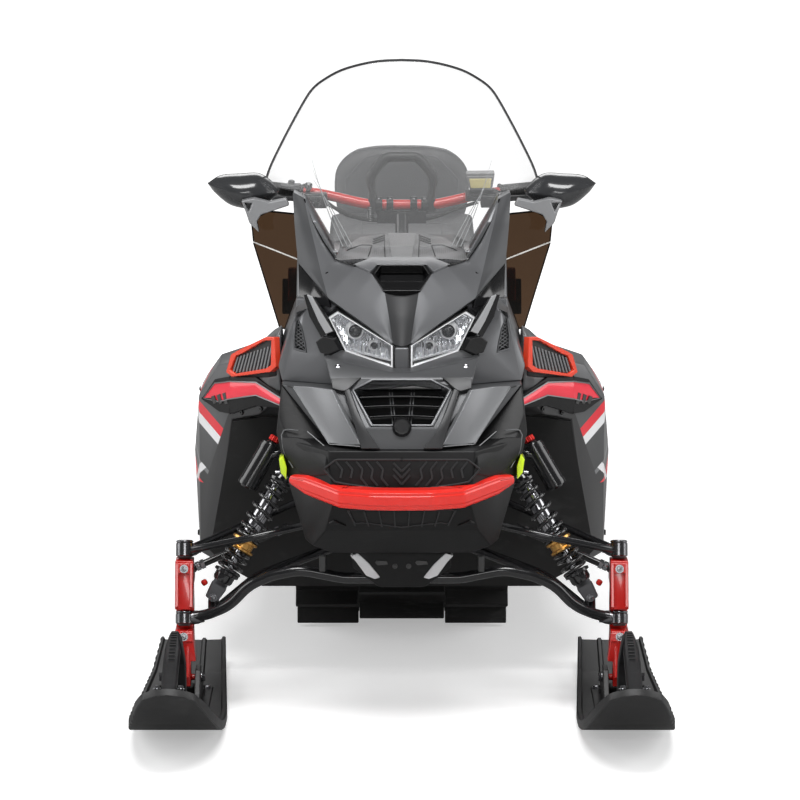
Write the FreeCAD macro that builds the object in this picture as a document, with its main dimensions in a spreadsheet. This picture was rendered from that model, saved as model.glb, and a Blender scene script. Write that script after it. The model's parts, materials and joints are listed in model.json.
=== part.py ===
"""Two-seat touring snowmobile: a parametric document, one object per sub-part.

Frame: +Z up, the front of the machine faces -Y, +X is the rider's left.  The
origin lies on the ground, midway between the ski tips and the hitch.
Lengths are millimetres.
"""
import FreeCAD, Part
import math
import os
import re
import Sketcher
from FreeCAD import Placement, Rotation, Vector

doc = FreeCAD.newDocument("snowmobile")

# ---------------------------------------------------------------- sizes
# columns: name, value, what it is
SIZES = [
    ("overall_length", 3250, "ski tips to hitch"),
    # skis and steering
    ("ski_nose", 560, "spindle line to ski tip"),
    ("ski_tail", 430, "spindle line to ski tail"),
    ("ski_stance", 974, "between ski centre lines"),
    ("ski_width", 206, "ski plate, widest"),
    ("ski_tail_width", 152, "ski plate at the tail"),
    ("ski_plate", 16, "thickness of the ski plate"),
    ("ski_curve", 460, "length of the upturned nose"),
    ("ski_rise", 176, "how far the nose turns up"),
    ("ski_nose_round", 100, "depth of the rounded nose in plan"),
    ("ski_flat_behind", 250, "flat running length behind the spindle line"),
    ("ski_tail_rise", 31, "how far the tail lifts"),
    ("keel_depth", 14, "keel below the plate"),
    ("keel_width", 40, "keel"),
    ("keel_bite", 4, "how far keel and saddle reach into the plate"),
    ("keel_ramp", 40, "sloped ends of the keel"),
    ("saddle_front", 110, "saddle foot ahead of the ski bolt"),
    ("saddle_rear", 120, "saddle foot behind the ski bolt"),
    ("saddle_head", 50, "flat top of the saddle"),
    ("saddle_gap", 60, "between the saddle walls"),
    ("saddle_wall", 12, "thickness of a saddle wall"),
    ("saddle_top", 112, "top of the saddle above ground"),
    ("ski_bolt_radius", 7, "pivot bolt of the ski"),
    ("ski_bolt_back", -20, "pivot bolt behind the spindle line"),
    ("ski_bolt_height", 88, "pivot bolt above ground"),
    ("running_fit", 0.05, "radial clearance of a pin in its hole"),
    ("loop_width", 34, "ski handle across"),
    ("loop_thick", 15, "ski handle strap"),
    ("loop_front", 36, "ski handle's front foot behind the tip"),
    ("loop_foot", 26, "ski handle's front foot, front to back"),
    ("loop_peak_front", 240, "highest part of the ski handle behind the tip"),
    ("loop_peak_rear", 300, "end of that part behind the tip"),
    ("loop_peak", 222, "ski handle above the plate"),
    ("loop_knee", 400, "ski handle's rear bend behind the tip"),
    ("loop_knee_up", 150, "ski handle's rear bend above the plate"),
    ("loop_end", 425, "ski handle's rear foot behind the tip"),
    ("leg_inset", 5, "steering axis inboard of the ski's centre"),
    ("lower_ball_height", 217, "lower ball joint"),
    ("upper_ball_height", 361, "upper ball joint"),
    ("caster_back", 40, "upper ball behind the lower ball"),
    ("ball_radius", 17, "housing of a ball joint"),
    ("leg_width", 54, "spindle leg across"),
    ("leg_depth", 46, "spindle leg, front to back"),
    ("leg_swell", 60, "height over which the leg swells round its lower ball"),
    ("leg_back", 49, "leg behind its lower ball"),
    ("foot_front", 6, "spindle foot ahead of the steering axis"),
    ("foot_depth", 40, "spindle foot, front to back"),
    ("foot_drop", 16, "spindle foot below the ski bolt"),
    ("joint_gap", 6, "opening of the leg round its ball joint"),
    ("foot_width", 40, "spindle foot across"),
    ("leg_top_gap", 0.5, "leg under the ball housings"),
    ("bolt_end", 6, "ski bolt proud of the saddle"),
    ("arm_eye_back", 130, "steering arm eye behind the spindle line"),
    ("arm_eye_height", 300, "steering arm eye"),
    ("arm_eye_inset", 12, "steering arm eye inboard of the steering axis"),
    ("arm_thick", 14, "steering arm at its eye"),
    ("arm_root_thick", 24, "steering arm at the leg"),
    ("rod_ball_radius", 11, "ball of the tie rod"),
    ("rod_radius", 8, "tie rod"),
    ("rod_inner_inset", 17, "inner end of the tie rod inside the body's flank"),
    ("rod_set_back", 20, "inner end of the tie rod behind its outer end"),
    ("rod_inner_height", 392, "inner end of the tie rod"),
    ("steer_rake", 33, "steering post from the vertical, degrees"),
    ("post_radius", 16, "steering post"),
    ("post_clearance", 9, "console and hood around the post"),
    ("bearing_radius", 30, "bearing collar of the post"),
    ("bearing_length", 46, "bearing collar of the post"),
    ("bearing_rise", 49, "lower end of the bearing above the tunnel"),
    ("bearing_floor", 6, "closed end of the bearing"),
    ("post_end_gap", 0.3, "post above the bearing's closed end"),
    ("riser_half", 58, "clamp block of the handlebar from the centre plane"),
    ("riser_depth", 36, "clamp block, front to back"),
    ("riser_tall", 30, "clamp block"),
    ("bar_back", 720, "handlebar centre behind the spindle line"),
    ("bar_height", 1045, "handlebar centre"),
    ("bar_radius", 12, "handlebar tube"),
    ("bar_half", 355, "handlebar end from the centre plane"),
    ("bar_sweep", 55, "handlebar ends behind its centre"),
    ("bar_rise", 35, "handlebar ends above its centre"),
    ("bar_middle_half", 80, "straight middle of the handlebar from the centre plane"),
    ("bar_knee_half", 200, "upper bend of the handlebar from the centre plane"),
    ("bar_knee_back", 10, "upper bend of the handlebar behind its centre"),
    ("bar_knee_rise", 26, "upper bend of the handlebar above its centre"),
    ("bar_bend", 90, "bend of the handlebar"),
    ("control_inner", 186, "hand control's inner side from the centre plane"),
    ("control_outer", 216, "hand control's outer side from the centre plane"),
    ("control_ahead", 42, "hand control ahead of the handlebar"),
    ("control_behind", 40, "hand control behind the handlebar's centre"),
    ("control_low", 2, "hand control's underside below the handlebar's centre"),
    ("control_high", 26, "hand control's top above the handlebar's centre"),
    ("lever_depth", 12, "brake and throttle lever"),
    ("lever_gap", 45, "lever ahead of the handlebar's end"),
    ("lever_short", 16, "lever shorter than the handlebar"),
    ("grip_end", 6, "grip beyond the end of the bar"),
    ("grip_length", 130, "hand grip"),
    ("grip_radius", 17, "hand grip"),
    ("hook_half", 68, "grab hook legs from the centre plane"),
    ("hook_top", 116, "grab hook above the handlebar"),
    ("hook_belly", 70, "widest part of the grab hook above the handlebar"),
    ("hook_flare", 6, "grab hook's widening on each side"),
    ("hook_bend", 34, "bend of the grab hook"),
    ("hook_radius", 11, "grab hook"),
    # front suspension
    ("upper_tube", 8, "upper arm tube radius"),
    ("lower_tube", 12, "lower arm tube radius"),
    ("shock_eye_inset", 64, "lower shock eye inboard of the steering axis"),
    ("shock_eye_back", 25, "lower shock eye behind the spindle line"),
    ("shock_eye_height", 264, "lower shock eye"),
    ("shock_top_inset", 13, "upper shock eye inside the body's flank"),
    ("shock_top_back", 85, "upper shock eye behind the spindle line"),
    ("shock_top_height", 528, "upper shock eye"),
    ("shock_radius", 19, "damper body"),
    ("shock_eye_radius", 14, "damper eye"),
    ("spring_radius", 31, "coil spring, outside"),
    ("spring_wire", 9, "coil spring wire"),
    ("spring_start", 58, "coil spring from the lower eye"),
    ("spring_end", 292, "coil spring end from the lower eye"),
    ("spring_seat", 26, "lower spring seat, along the damper"),
    ("collar_length", 8, "upper spring collar, along the damper"),
    ("damper_start", 175, "damper body from the lower eye"),
    ("damper_rod", 9, "damper rod radius"),
    ("reservoir_radius", 23, "damper reservoir"),
    ("reservoir_gap", 57, "reservoir beside the damper, axis to axis"),
    ("reservoir_back", 26, "reservoir behind the damper"),
    ("reservoir_below", 74, "reservoir below the upper shock eye"),
    ("reservoir_above", 34, "reservoir above the upper shock eye"),
    ("reservoir_stay", 8, "reservoir bracket rod radius"),
    ("shock_bolt", 7, "upper shock bolt"),
    ("arm_bend", 120, "bend of the lower arm's front tube"),
    ("soft_bend", 180, "bend of the other arm tubes"),
    # frame and tunnel
    ("track_side_gap", 18, "track to the outside of the tunnel"),
    ("drawn_half", 272, "half width of the body that the corners are given for"),
    ("frame_inset", 72, "inside of the frame side plates from the body's flank"),
    ("frame_plate_foot", 16, "frame side plate at its foot"),
    ("frame_head", 34, "frame side plate at its head"),
    ("frame_rise", 22, "frame foot's chamfer"),
    ("frame_floor", 19, "frame floor"),
    ("frame_front", 25, "frame ahead of the spindle line"),
    ("belly_skin", 8, "belly pan below the frame"),
    ("keel_low", 84, "frame keel below the belly line"),
    ("keel_half", 50, "frame keel's flat from the centre plane"),
    ("keel_side", 104, "frame keel's edge from the centre plane"),
    ("keel_rise", 43, "frame keel's edge below the belly line"),
    ("lug_half", 32, "arm lug from the centre plane"),
    ("lug_reach", 47, "arm lug ahead of the spindle line"),
    ("lug_tall", 30, "arm lug"),
    ("window_front", 95, "steering window behind the spindle line"),
    ("window_rear", 205, "steering window behind the spindle line"),
    ("window_low", 370, "steering window"),
    ("window_high", 452, "steering window"),
    ("engine_gap", 12, "engine clear of the frame"),
    ("engine_front", 105, "engine behind the spindle line"),
    ("engine_rear_gap", 7, "engine ahead of the tunnel"),
    ("engine_top", 745, "engine"),
    ("tunnel_plate", 4, "tunnel sheet"),
    ("tunnel_top_height", 560, "tunnel top"),
    ("tunnel_front", 325, "tunnel front behind the spindle line"),
    ("tunnel_overhang", 295, "hitch end behind the tunnel"),
    ("board_height", 330, "running board"),
    ("board_plate", 12, "running board"),
    ("board_half", 430, "running board outer edge"),
    ("board_lip", 30, "raised edge of the running board"),
    ("board_lip_thick", 14, "raised edge of the running board"),
    ("board_tail", 180, "running board end ahead of the tunnel end"),
    ("tunnel_slope", 60, "sloped ends of the tunnel sides"),
    ("tunnel_tail_rise", 90, "tunnel side's tail above the running board"),
    ("panel_rear", 665, "side panels end behind the spindle line"),
    ("fold", 60, "outline run into the neighbouring panel"),
    # track
    ("track_width", 508, "track"),
    ("belt_thick", 10, "track belt"),
    ("lug_height", 38, "track lug"),
    ("lug_thick", 16, "track lug along the track"),
    ("lug_pitch", 72.6, "spacing of the lugs"),
    ("lug_split", 105, "where outer and middle lugs part"),
    ("track_start", 870, "ground contact behind the spindle line"),
    ("drive_back", 460, "drive axle behind the spindle line"),
    ("drive_height", 400, "drive axle"),
    ("drive_radius", 84, "drive sprockets"),
    ("rail_bow", 230, "radius of the rails' front bend"),
    ("idler_ahead", 382, "rear idler axle ahead of the tunnel end"),
    ("idler_radius", 95, "rear idler wheel"),
    ("bogie_radius", 66, "rail wheel"),
    ("carrier_radius", 58, "upper carrier wheel"),
    ("carrier_back", 430, "upper carrier wheels behind the ground contact"),
    ("carrier_height", 385, "upper carrier wheels"),
    ("wheel_width", 26, "idler and rail wheels"),
    ("rail_half", 86, "slide rail from the centre plane"),
    ("rail_tip", 210, "slide rail's front end ahead of the ground contact"),
    ("rail_tip_low", 128, "front end of the rail above the belt"),
    ("rail_tip_high", 150, "front end of the rail's top above the belt"),
    ("rail_sweep", 120, "start of the rail's bend ahead of the ground contact"),
    ("rail_sweep_up", 46, "start of the rail's bend above the belt"),
    ("rail_ear", 40, "rail's ear on each side of the idler axle"),
    ("rail_ear_up", 25, "rail's ear above the idler wheel's centre"),
    ("wheel_outer", 165, "outer idler wheels and drive sprockets from the centre plane"),
    ("wheel_in", 40, "inner idler wheels from the centre plane"),
    ("wheel_mid", 150, "rail and carrier wheels from the centre plane"),
    ("sprocket_in", 60, "inner drive sprockets from the centre plane"),
    ("bogie_rows", 3, "rows of rail wheels"),
    ("lug_gap", 3, "gap between outer and middle lugs, and a lug's root in the belt"),
    ("front_arm_top", 170, "front arm's upper axle ahead of the ground contact"),
    ("front_arm_rise", 20, "front arm's upper axle above the drive axle"),
    ("front_arm_foot", 250, "front arm's foot behind the ground contact"),
    ("rear_arm_foot", 690, "rear arm's foot behind the ground contact"),
    ("arm_half", 60, "suspension arm tubes from the centre plane"),
    ("arm_tube_step", 3, "arm tubes thinner than their cross tubes"),
    ("rail_thick", 14, "slide rail"),
    ("rail_height", 74, "slide rail above the belt"),
    ("axle_radius", 13, "axles of the track system"),
    ("strut_radius", 15, "rear suspension tube"),
    # screen, deflectors, mirrors
    ("screen_radius", 400, "curvature of the windshield"),
    ("screen_thick", 5, "windshield"),
    ("screen_lean", 18.8, "windshield lean, degrees"),
    ("bracket_tall", 34, "mirror bracket at the hood"),
    ("bracket_thick", 26, "mirror bracket, front to back"),
    ("bracket_foot", 8, "mirror bracket's foot"),
    ("mirror_lip", 20, "mirror housing behind its tip"),
    ("deflector_thick", 5, "wind deflector"),
    ("deflector_cut", 40, "bevelled upper corner of the wind deflector"),
    ("seam", 2, "gap between neighbouring panels"),
    # seat and rear
    ("soft_gap", 0.3, "soft parts clear of their neighbours"),
    ("seat_front", 915, "seat front behind the spindle line"),
    ("seat_length", 1050, "seat"),
    ("seat_rider", 800, "rider's seat height"),
    ("seat_passenger", 862, "passenger's seat height"),
    ("seat_horn", 24, "seat front above the rider's seat"),
    ("seat_dip", 150, "lowest part of the rider's seat from its front"),
    ("seat_step_start", 520, "step to the passenger's seat from the front"),
    ("seat_step_end", 610, "end of that step"),
    ("seat_undercut", 30, "slope of the seat's rear face"),
    ("seat_roll", 90, "rounded side of the seat below its top"),
    ("backrest_thick", 60, "backrest pad"),
    ("rest_round", 84, "rounded top of the backrest"),
    ("stay_half", 100, "backrest tube from the centre plane"),
    ("stay_drop", 60, "backrest tube below the pad's top"),
    ("backrest_top", 1047, "backrest top"),
    ("backrest_gap", 8, "backrest behind the seat"),
    ("rail_tube", 12, "backrest and rack tubes"),
    ("rack_height", 700, "rear rack"),
    ("rack_half", 220, "rear rack tube from the centre plane"),
    ("rack_inset", 20, "rack posts from the ends of the rack"),
    ("rack_bend", 42, "bend of the backrest and rack tubes"),
    ("rack_slats", 4, "cross tubes of the rack"),
    ("slat_tube", 9, "cross tube of the rack"),
    ("lamp_half", 110, "tail light from the centre plane"),
    ("lamp_deep", 30, "tail light, front to back"),
    ("lamp_tall", 38, "tail light"),
    ("hoop_drop", 40, "rear bumper below the tunnel top"),
    ("hoop_corner", 90, "rear bumper's corners ahead of its end"),
    ("hoop_half", 200, "straight end of the rear bumper from the centre plane"),
    ("hoop_bend", 70, "bend of the rear bumper"),
    ("hoop_reach", 50, "rear bumper ahead of the hitch hole"),
    ("hitch_half", 45, "hitch plate from the centre plane"),
    ("bumper_tube", 15, "rear bumper tube"),
    ("flap_thick", 8, "snow flap"),
    ("flap_lean", 70, "foot of the snow flap behind its top"),
    ("flap_inset", 12, "snow flap narrower than the tunnel on each side"),
    ("flap_bottom", 170, "snow flap above ground"),
    ("hitch_plate", 12, "hitch plate"),
    ("hitch_hole", 8, "radius of the hitch hole"),
    ("hitch_edge", 25, "hitch hole to the plate's end"),
    # nose
    ("bumper_reach", 40, "front bumper band, front to back"),
    ("bumper_low", 514, "front bumper bottom"),
    ("bumper_high", 557, "front bumper top"),
    ("skid_thick", 8, "skid plate"),
    ("skid_proud", 4, "skid plate beyond the keel"),
    ("lamp_depth", 75, "headlight, front to back"),
]

# Corners of the bodywork on the rider's left; the right side mirrors them.
# Their distances from the centre plane grow and shrink with the body's width.
# columns: name, distance from the centre plane, behind the spindle line, height
CORNERS = [
    ("hood_tip", 20, 0, 831),
    ("hood_foot", 20, 0, 785),
    ("scoop", 30, 105, 934),
    ("brow", 52, 225, 986),
    ("cowl", 155, 345, 986),
    ("pillar_in", 219, 425, 1100),
    ("pillar_out", 248, 425, 1113),
    ("pillar_back", 248, 480, 1113),
    ("hood_shoulder", 232, 300, 956),
    ("hood_rear", 272, 505, 986),
    ("lamp_outer_top", 142, 150, 887),
    ("lamp_outer", 162, 135, 871),
    ("lamp_outer_low", 125, 65, 802),
    ("lamp_inner_low", 20, -30, 785),
    ("lamp_inner", 20, -30, 833),
    ("cheek_top_in", 205, 165, 916),
    ("cheek_top_out", 237, 190, 885),
    ("cheek_out", 272, 120, 775),
    ("cheek_low_out", 264, 60, 742),
    ("cheek_low_in", 147, -30, 748),
    ("cheek_in", 168, -20, 812),
    ("grille_top", 62, -95, 775),
    ("grille_low", 66, -160, 675),
    ("nose_low", 155, -178, 632),
    ("chin_front", 150, -190, 590),
    ("chin_low", 250, -197, 545),
    ("chin_side", 275, -20, 640),
    ("belly_side", 210, -95, 416),
    ("belly_low", 153, -100, 388),
    ("bumper_tip", 243, -100, 550),
    ("bumper_bend", 134, -225, 550),
    ("bumper_front", 60, -252, 550),
    ("panel_top", 322, 480, 764),
    ("panel_corner", 420, 480, 719),
    ("panel_wing", 470, 465, 634),
    ("panel_out", 485, 545, 490),
    ("panel_low", 470, 600, 262),
    ("panel_foot", 364, 420, 240),
    ("vent_top_in", 282, 270, 806),
    ("vent_top_out", 392, 365, 733),
    ("vent_low_out", 390, 365, 694),
    ("vent_low_in", 282, 270, 722),
    ("screen_corner", 181, 520, 1348),
    ("screen_brow", 136, 535, 1390),
    ("screen_crown", 60, 540, 1412),
    ("screen_wide", 319, 600, 1112),
    ("deflector_in", 226, 400, 1060),
    ("deflector_out", 348, 490, 1040),
    ("deflector_seam", 343, 490, 988),
    ("deflector_foot", 276, 440, 775),
    ("mirror_tip", 449, 530, 1118),
    ("mirror_top", 361, 478, 1142),
    ("mirror_in_top", 331, 478, 1141),
    ("mirror_in", 297, 500, 1117),
    ("mirror_low_in", 366, 500, 1057),
    ("mirror_low", 421, 490, 1073),
    ("bracket_in", 236, 400, 1100),
    ("bracket_leg", 334, 485, 1014),
    ("bracket_leg_tip", 346, 485, 1020),
    ("bracket_waist", 311, 460, 1060),
    ("bracket_hole_in", 332, 480, 1085),
    ("bracket_hole_out", 360, 490, 1082),
    ("bracket_hole_low", 338, 480, 1060),
    ("bracket_end", 390, 500, 1095),
    ("hood_cavity_front", 190, 230, 700),
    ("hood_cavity_rear", 190, 480, 930),
    ("panel_front_top", 282, 230, 814),
    ("panel_front_low", 272, 222, 668),
    ("panel_front_mid", 300, 240, 650),
    ("panel_arch_top", 390, 270, 625),
    ("panel_arch_mid", 390, 345, 600),
    ("panel_rear_up", 322, 665, 640),
    ("panel_crown_rear", 322, 400, 800),
    ("panel_crown", 300, 310, 826),
    ("vent_front", 277, 180, 806),
    ("vent_back", 400, 330, 733),
    ("vent_deep", 400, 400, 733),
    ("vent_inside", 277, 270, 806),
    ("reflector_top", 259, -70, 598),
    ("reflector_in", 251, -70, 572),
    ("reflector_low", 252, -70, 545),
    ("reflector_out", 264, -20, 560),
    ("reflector_high", 268, -20, 590),
    ("console_lip", 120, 365, 993),
    ("console_crown", 120, 505, 1005),
    ("console_edge", 154, 570, 978),
    ("console_dash", 154, 660, 895),
    ("console_saddle", 150, 915, 828),
    ("console_flank", 250, 640, 760),
    ("console_waist", 150, 710, 760),
    ("belly_front", 140, -190, 450),
    ("seat_foot", 195, 915, 560),
    ("seat_side", 205, 915, 710),
    ("seat_edge", 165, 1065, 800),
    ("seat_step", 150, 1435, 862),
    ("seat_widest", 220, 1435, 862),
    ("rest_low", 195, 1973, 864),
    ("rest_shoulder", 184, 1973, 963),
    ("rest_crown", 58, 1973, 1047),
]

# Places worked out from the sizes
PLACES = {
    "post_length": "((bar_height - tunnel_top_height - bearing_rise) / cos(steer_rake))",
    "body_half": "(track_width / 2 + track_side_gap)",
    "body_scale": "(body_half / drawn_half)",
    "frame_inner": "(body_half - frame_inset)",
    "leg_half": "(ski_stance / 2 - leg_inset)",
    "arm_eye_half": "(leg_half - arm_eye_inset)",
    "shock_eye_half": "(leg_half - shock_eye_inset)",
    "shock_top_half": "(body_half - shock_top_inset)",
    "rod_inner_half": "(body_half - rod_inner_inset)",
    "spindle": "(ski_nose - overall_length / 2)",
    "tail": "(overall_length / 2)",
    "plate_bottom": "keel_depth",
    "plate_top": "(keel_depth + ski_plate)",
    "ski_radius": "((ski_curve ^ 2 + ski_rise ^ 2) / (2 * ski_rise))",
    "ski_curve_start": "(ski_curve - ski_nose)",
    "tunnel_end": "(tail - tunnel_overhang)",
    "belt_inside": "(lug_height + belt_thick)",
    "contact": "(spindle + track_start)",
    "idler_line": "(tunnel_end - idler_ahead)",
    "bar_line": "(spindle + bar_back)",
    "seat_line": "(spindle + seat_front)",
    "seat_end": "(seat_line + seat_length)",
    "backrest_line": "(seat_end + backrest_gap)",
    "bumper_line": "(tail - hitch_edge - hoop_reach)",
    "rack_front": "(backrest_line + backrest_thick + 2 * rail_tube)",
}

# Bends of the suspension tubes
# columns: name, share of the way from the steering axis to the inner mount,
# behind the spindle line, above the tube's ball joint
BENDS = [
    ("upper_elbow", 0.153, 18, 12),
    ("upper_middle", 0.496, 2, 34),
    ("upper_mount", 1, -10, 68),
    ("upper_rear_mount", 1, 250, 75),
    ("lower_elbow", 0.111, -2, 8),
    ("lower_rise", 0.222, -8, 30),
    ("lower_knee", 0.32, -12, 78),
    ("lower_hump", 0.433, -16, 101),
    ("lower_top", 0.571, -20, 115),
    ("lower_mount", 0.782, -24, 97),
    ("lower_end", 1, -24, 97),
    ("rear_start", 0.133, 0, 10),
    ("rear_middle", 0.356, 110, 72),
    ("rear_mount", 0.84, 230, 128),
]

sheet = doc.addObject("Spreadsheet::Sheet", "dims")
ALIASES = set()


def put_size(name, number, note):
    """Enter one driving size in the next row of the sheet."""
    row = len(ALIASES) + 1
    sheet.set(f"A{row}", str(number))
    sheet.setAlias(f"A{row}", name)
    sheet.set(f"B{row}", note)
    ALIASES.add(name)


for size_name, number, note in SIZES:
    put_size(size_name, number, note)
for corner_name, out, back, height in CORNERS:
    put_size(f"{corner_name}_out", out, "from the centre plane")
    put_size(f"{corner_name}_back", back, "behind the spindle line")
    put_size(f"{corner_name}_up", height, "above ground")
for bend_name, share, back, rise in BENDS:
    put_size(f"{bend_name}_share", share, "share of the way in from the steering axis")
    put_size(f"{bend_name}_back", back, "behind the spindle line")
    put_size(f"{bend_name}_rise", rise, "above the ball joint")
doc.recompute()


def formula(text):
    """The text as a FreeCAD expression: places spelled out, sizes read from the sheet."""
    def spell(match):
        word = match.group(0)
        if word in PLACES:
            return formula(PLACES[word])
        if word in ALIASES and word.endswith("_out"):
            return f"(dims.{word} * {formula('body_scale')})"
        if word in ALIASES:
            return f"dims.{word}"
        return word
    return re.sub(r"[a-z_]+", spell, str(text))


def value(text):
    """The number that a formula gives now."""
    if isinstance(text, (int, float)):
        return float(text)
    return float(sheet.evalExpression(formula(text)))


# ---------------------------------------------------------------- helpers
PLANES = {"side": "YZ_Plane", "front": "XZ_Plane", "plan": "XY_Plane"}


def side(corner):
    """A named corner in the side view: (y, z)."""
    return (f"spindle + {corner}_back", f"{corner}_up")


def front(corner):
    """A named corner in the front view: (x, z)."""
    return (f"{corner}_out", f"{corner}_up")


def plan(corner):
    """A named corner in the plan view: (x, y)."""
    return (f"{corner}_out", f"spindle + {corner}_back")


def both_sides(points):
    """An outline given from bottom centre to top centre, closed by its mirror image."""
    mirrored = [(f"-({u})", v) for u, v in reversed(points) if u != 0]
    return points + mirrored


def solid(name, view, points, low, high):
    """A body padded from an outline of straight edges, between low and high across the view."""
    body = doc.addObject("PartDesign::Body", name)
    sketch = body.newObject("Sketcher::SketchObject", f"{name}_sketch")
    plane = [item for item in body.Origin.OriginFeatures if item.Role == PLANES[view]]
    sketch.AttachmentSupport = [(plane[0], "")]
    sketch.MapMode = "FlatFace"
    shift = f"-({high})" if view == "front" else low
    sketch.setExpression("AttachmentOffset.Base.z", formula(shift))
    here = [(value(u), value(v)) for u, v in points]
    count = len(here)
    following = here[1:] + here[:1]
    edges = [Part.LineSegment(Vector(*a, 0), Vector(*b, 0)) for a, b in zip(here, following)]
    sketch.addGeometry(edges, False)
    rules = [Sketcher.Constraint("Coincident", i, 2, (i + 1) % count, 1) for i in range(count)]
    for i, (u, v) in enumerate(here):
        rules.append(Sketcher.Constraint("DistanceX", -1, 1, i, 1, u))
        rules.append(Sketcher.Constraint("DistanceY", -1, 1, i, 1, v))
    sketch.addConstraint(rules)
    for i, (u, v) in enumerate(points):
        if isinstance(u, str):
            sketch.setExpression(f"Constraints[{count + 2 * i}]", formula(u))
        if isinstance(v, str):
            sketch.setExpression(f"Constraints[{count + 2 * i + 1}]", formula(v))
    pad = body.newObject("PartDesign::Pad", f"{name}_pad")
    pad.Profile = sketch
    pad.setExpression("Length", formula(f"({high}) - ({low})"))
    return body


def block(name, x, y, z):
    """A box between pairs of low and high formulas."""
    box = doc.addObject("Part::Box", name)
    for side_name, axis, (low, high) in (("Length", "x", x), ("Width", "y", y), ("Height", "z", z)):
        box.setExpression(side_name, formula(f"({high}) - ({low})"))
        box.setExpression(f"Placement.Base.{axis}", formula(low))
    return box


def rod_across(name, radius, x, y, z):
    """A cylinder along X between a pair of formulas."""
    rod = doc.addObject("Part::Cylinder", name)
    rod.Placement = Placement(Vector(0, 0, 0), Rotation(Vector(0, 1, 0), 90))
    rod.setExpression("Radius", formula(radius))
    rod.setExpression("Height", formula(f"({x[1]}) - ({x[0]})"))
    for axis, text in (("x", x[0]), ("y", y), ("z", z)):
        rod.setExpression(f"Placement.Base.{axis}", formula(text))
    return rod


def rod_on_post(name, radius, low, high):
    """A cylinder on the steering axis, from low to high above the handlebar centre."""
    rod = doc.addObject("Part::Cylinder", name)
    rod.Placement = Placement(Vector(0, 0, 0), Rotation(Vector(-1, 0, 0), value("steer_rake")))
    rod.setExpression("Placement.Rotation.Angle", formula("steer_rake"))
    rod.setExpression("Radius", formula(radius))
    rod.setExpression("Height", formula(f"({high}) - ({low})"))
    rod.setExpression("Placement.Base.y", formula(f"bar_line + ({low}) * sin(steer_rake)"))
    rod.setExpression("Placement.Base.z", formula(f"bar_height + ({low}) * cos(steer_rake)"))
    return rod


def common(name, *parts):
    """What all the given objects share."""
    result = doc.addObject("Part::MultiCommon", name)
    result.Shapes = list(parts)
    return result


def joined(name, *parts):
    """The given objects as one solid."""
    result = doc.addObject("Part::MultiFuse", name)
    result.Shapes = list(parts)
    return result


def cut(name, base, *tools):
    """The base less each tool in turn."""
    for index, tool in enumerate(tools):
        step = doc.addObject("Part::Cut", name if index == len(tools) - 1 else f"{name}_{index}")
        step.Base = base
        step.Tool = tool
        base = step
    return base


def mirror(obj, name=None):
    """The object on the other side of the centre plane."""
    twin = doc.addObject("Part::Mirroring", name or f"{obj.Name}_twin")
    twin.Source = obj
    twin.Normal = Vector(1, 0, 0)
    return twin


def group(name, *parts):
    """Separate solids that share one node."""
    result = doc.addObject("Part::Compound", name)
    result.Links = list(parts)
    return result


def pair(name, obj):
    """The object and its mirror image in one node."""
    return group(name, obj, mirror(obj))


def made(name, shape):
    """A feature whose shape is worked out here from the sheet's sizes."""
    feature = doc.addObject("Part::Feature", name)
    feature.Shape = shape
    feature.Placement = Placement()
    return feature


def at(x, y, z):
    """A point from three formulas."""
    return Vector(value(x), value(y), value(z))


def bent_path(points, bend):
    """Straight runs joined by tangent arcs of radius bend, or less where a run is short."""
    edges = []
    start = points[0]
    for before, corner, after in zip(points, points[1:], points[2:]):
        into = (corner - before).normalize()
        out = (after - corner).normalize()
        turn = into.getAngle(out)
        room = 0.45 * min((corner - before).Length, (after - corner).Length)
        reach = min(bend * math.tan(turn / 2), room)
        first = corner - into * reach
        last = corner + out * reach
        radius = reach / math.tan(turn / 2)
        inward = (out - into).normalize()
        centre = corner + inward * (radius / math.cos(turn / 2))
        middle = centre - inward * radius
        edges.append(Part.LineSegment(start, first).toShape())
        edges.append(Part.Arc(first, middle, last).toShape())
        start = last
    edges.append(Part.LineSegment(start, points[-1]).toShape())
    return Part.Wire(edges)


def tube(points, radius, bend):
    """A round bar along a bent path."""
    path = bent_path(points, bend)
    ring = Part.Circle(points[0], points[1] - points[0], radius).toShape()
    return path.makePipeShell([Part.Wire([ring])], True, True)


def bar(start, end, radius):
    """A straight round bar between two points."""
    run = end - start
    return Part.makeCylinder(radius, run.Length, start, run)


# ---------------------------------------------------------------- nodes
NODES = []


def node(obj, label):
    """Mark an object as a sub-part that is written to its own file."""
    obj.Label = label
    NODES.append(obj)
    return obj


HALF = ("-body_half", "body_half")
DEEP = ("spindle - ski_nose", "seat_end")
TALL = (0, "screen_crown_up")


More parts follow.
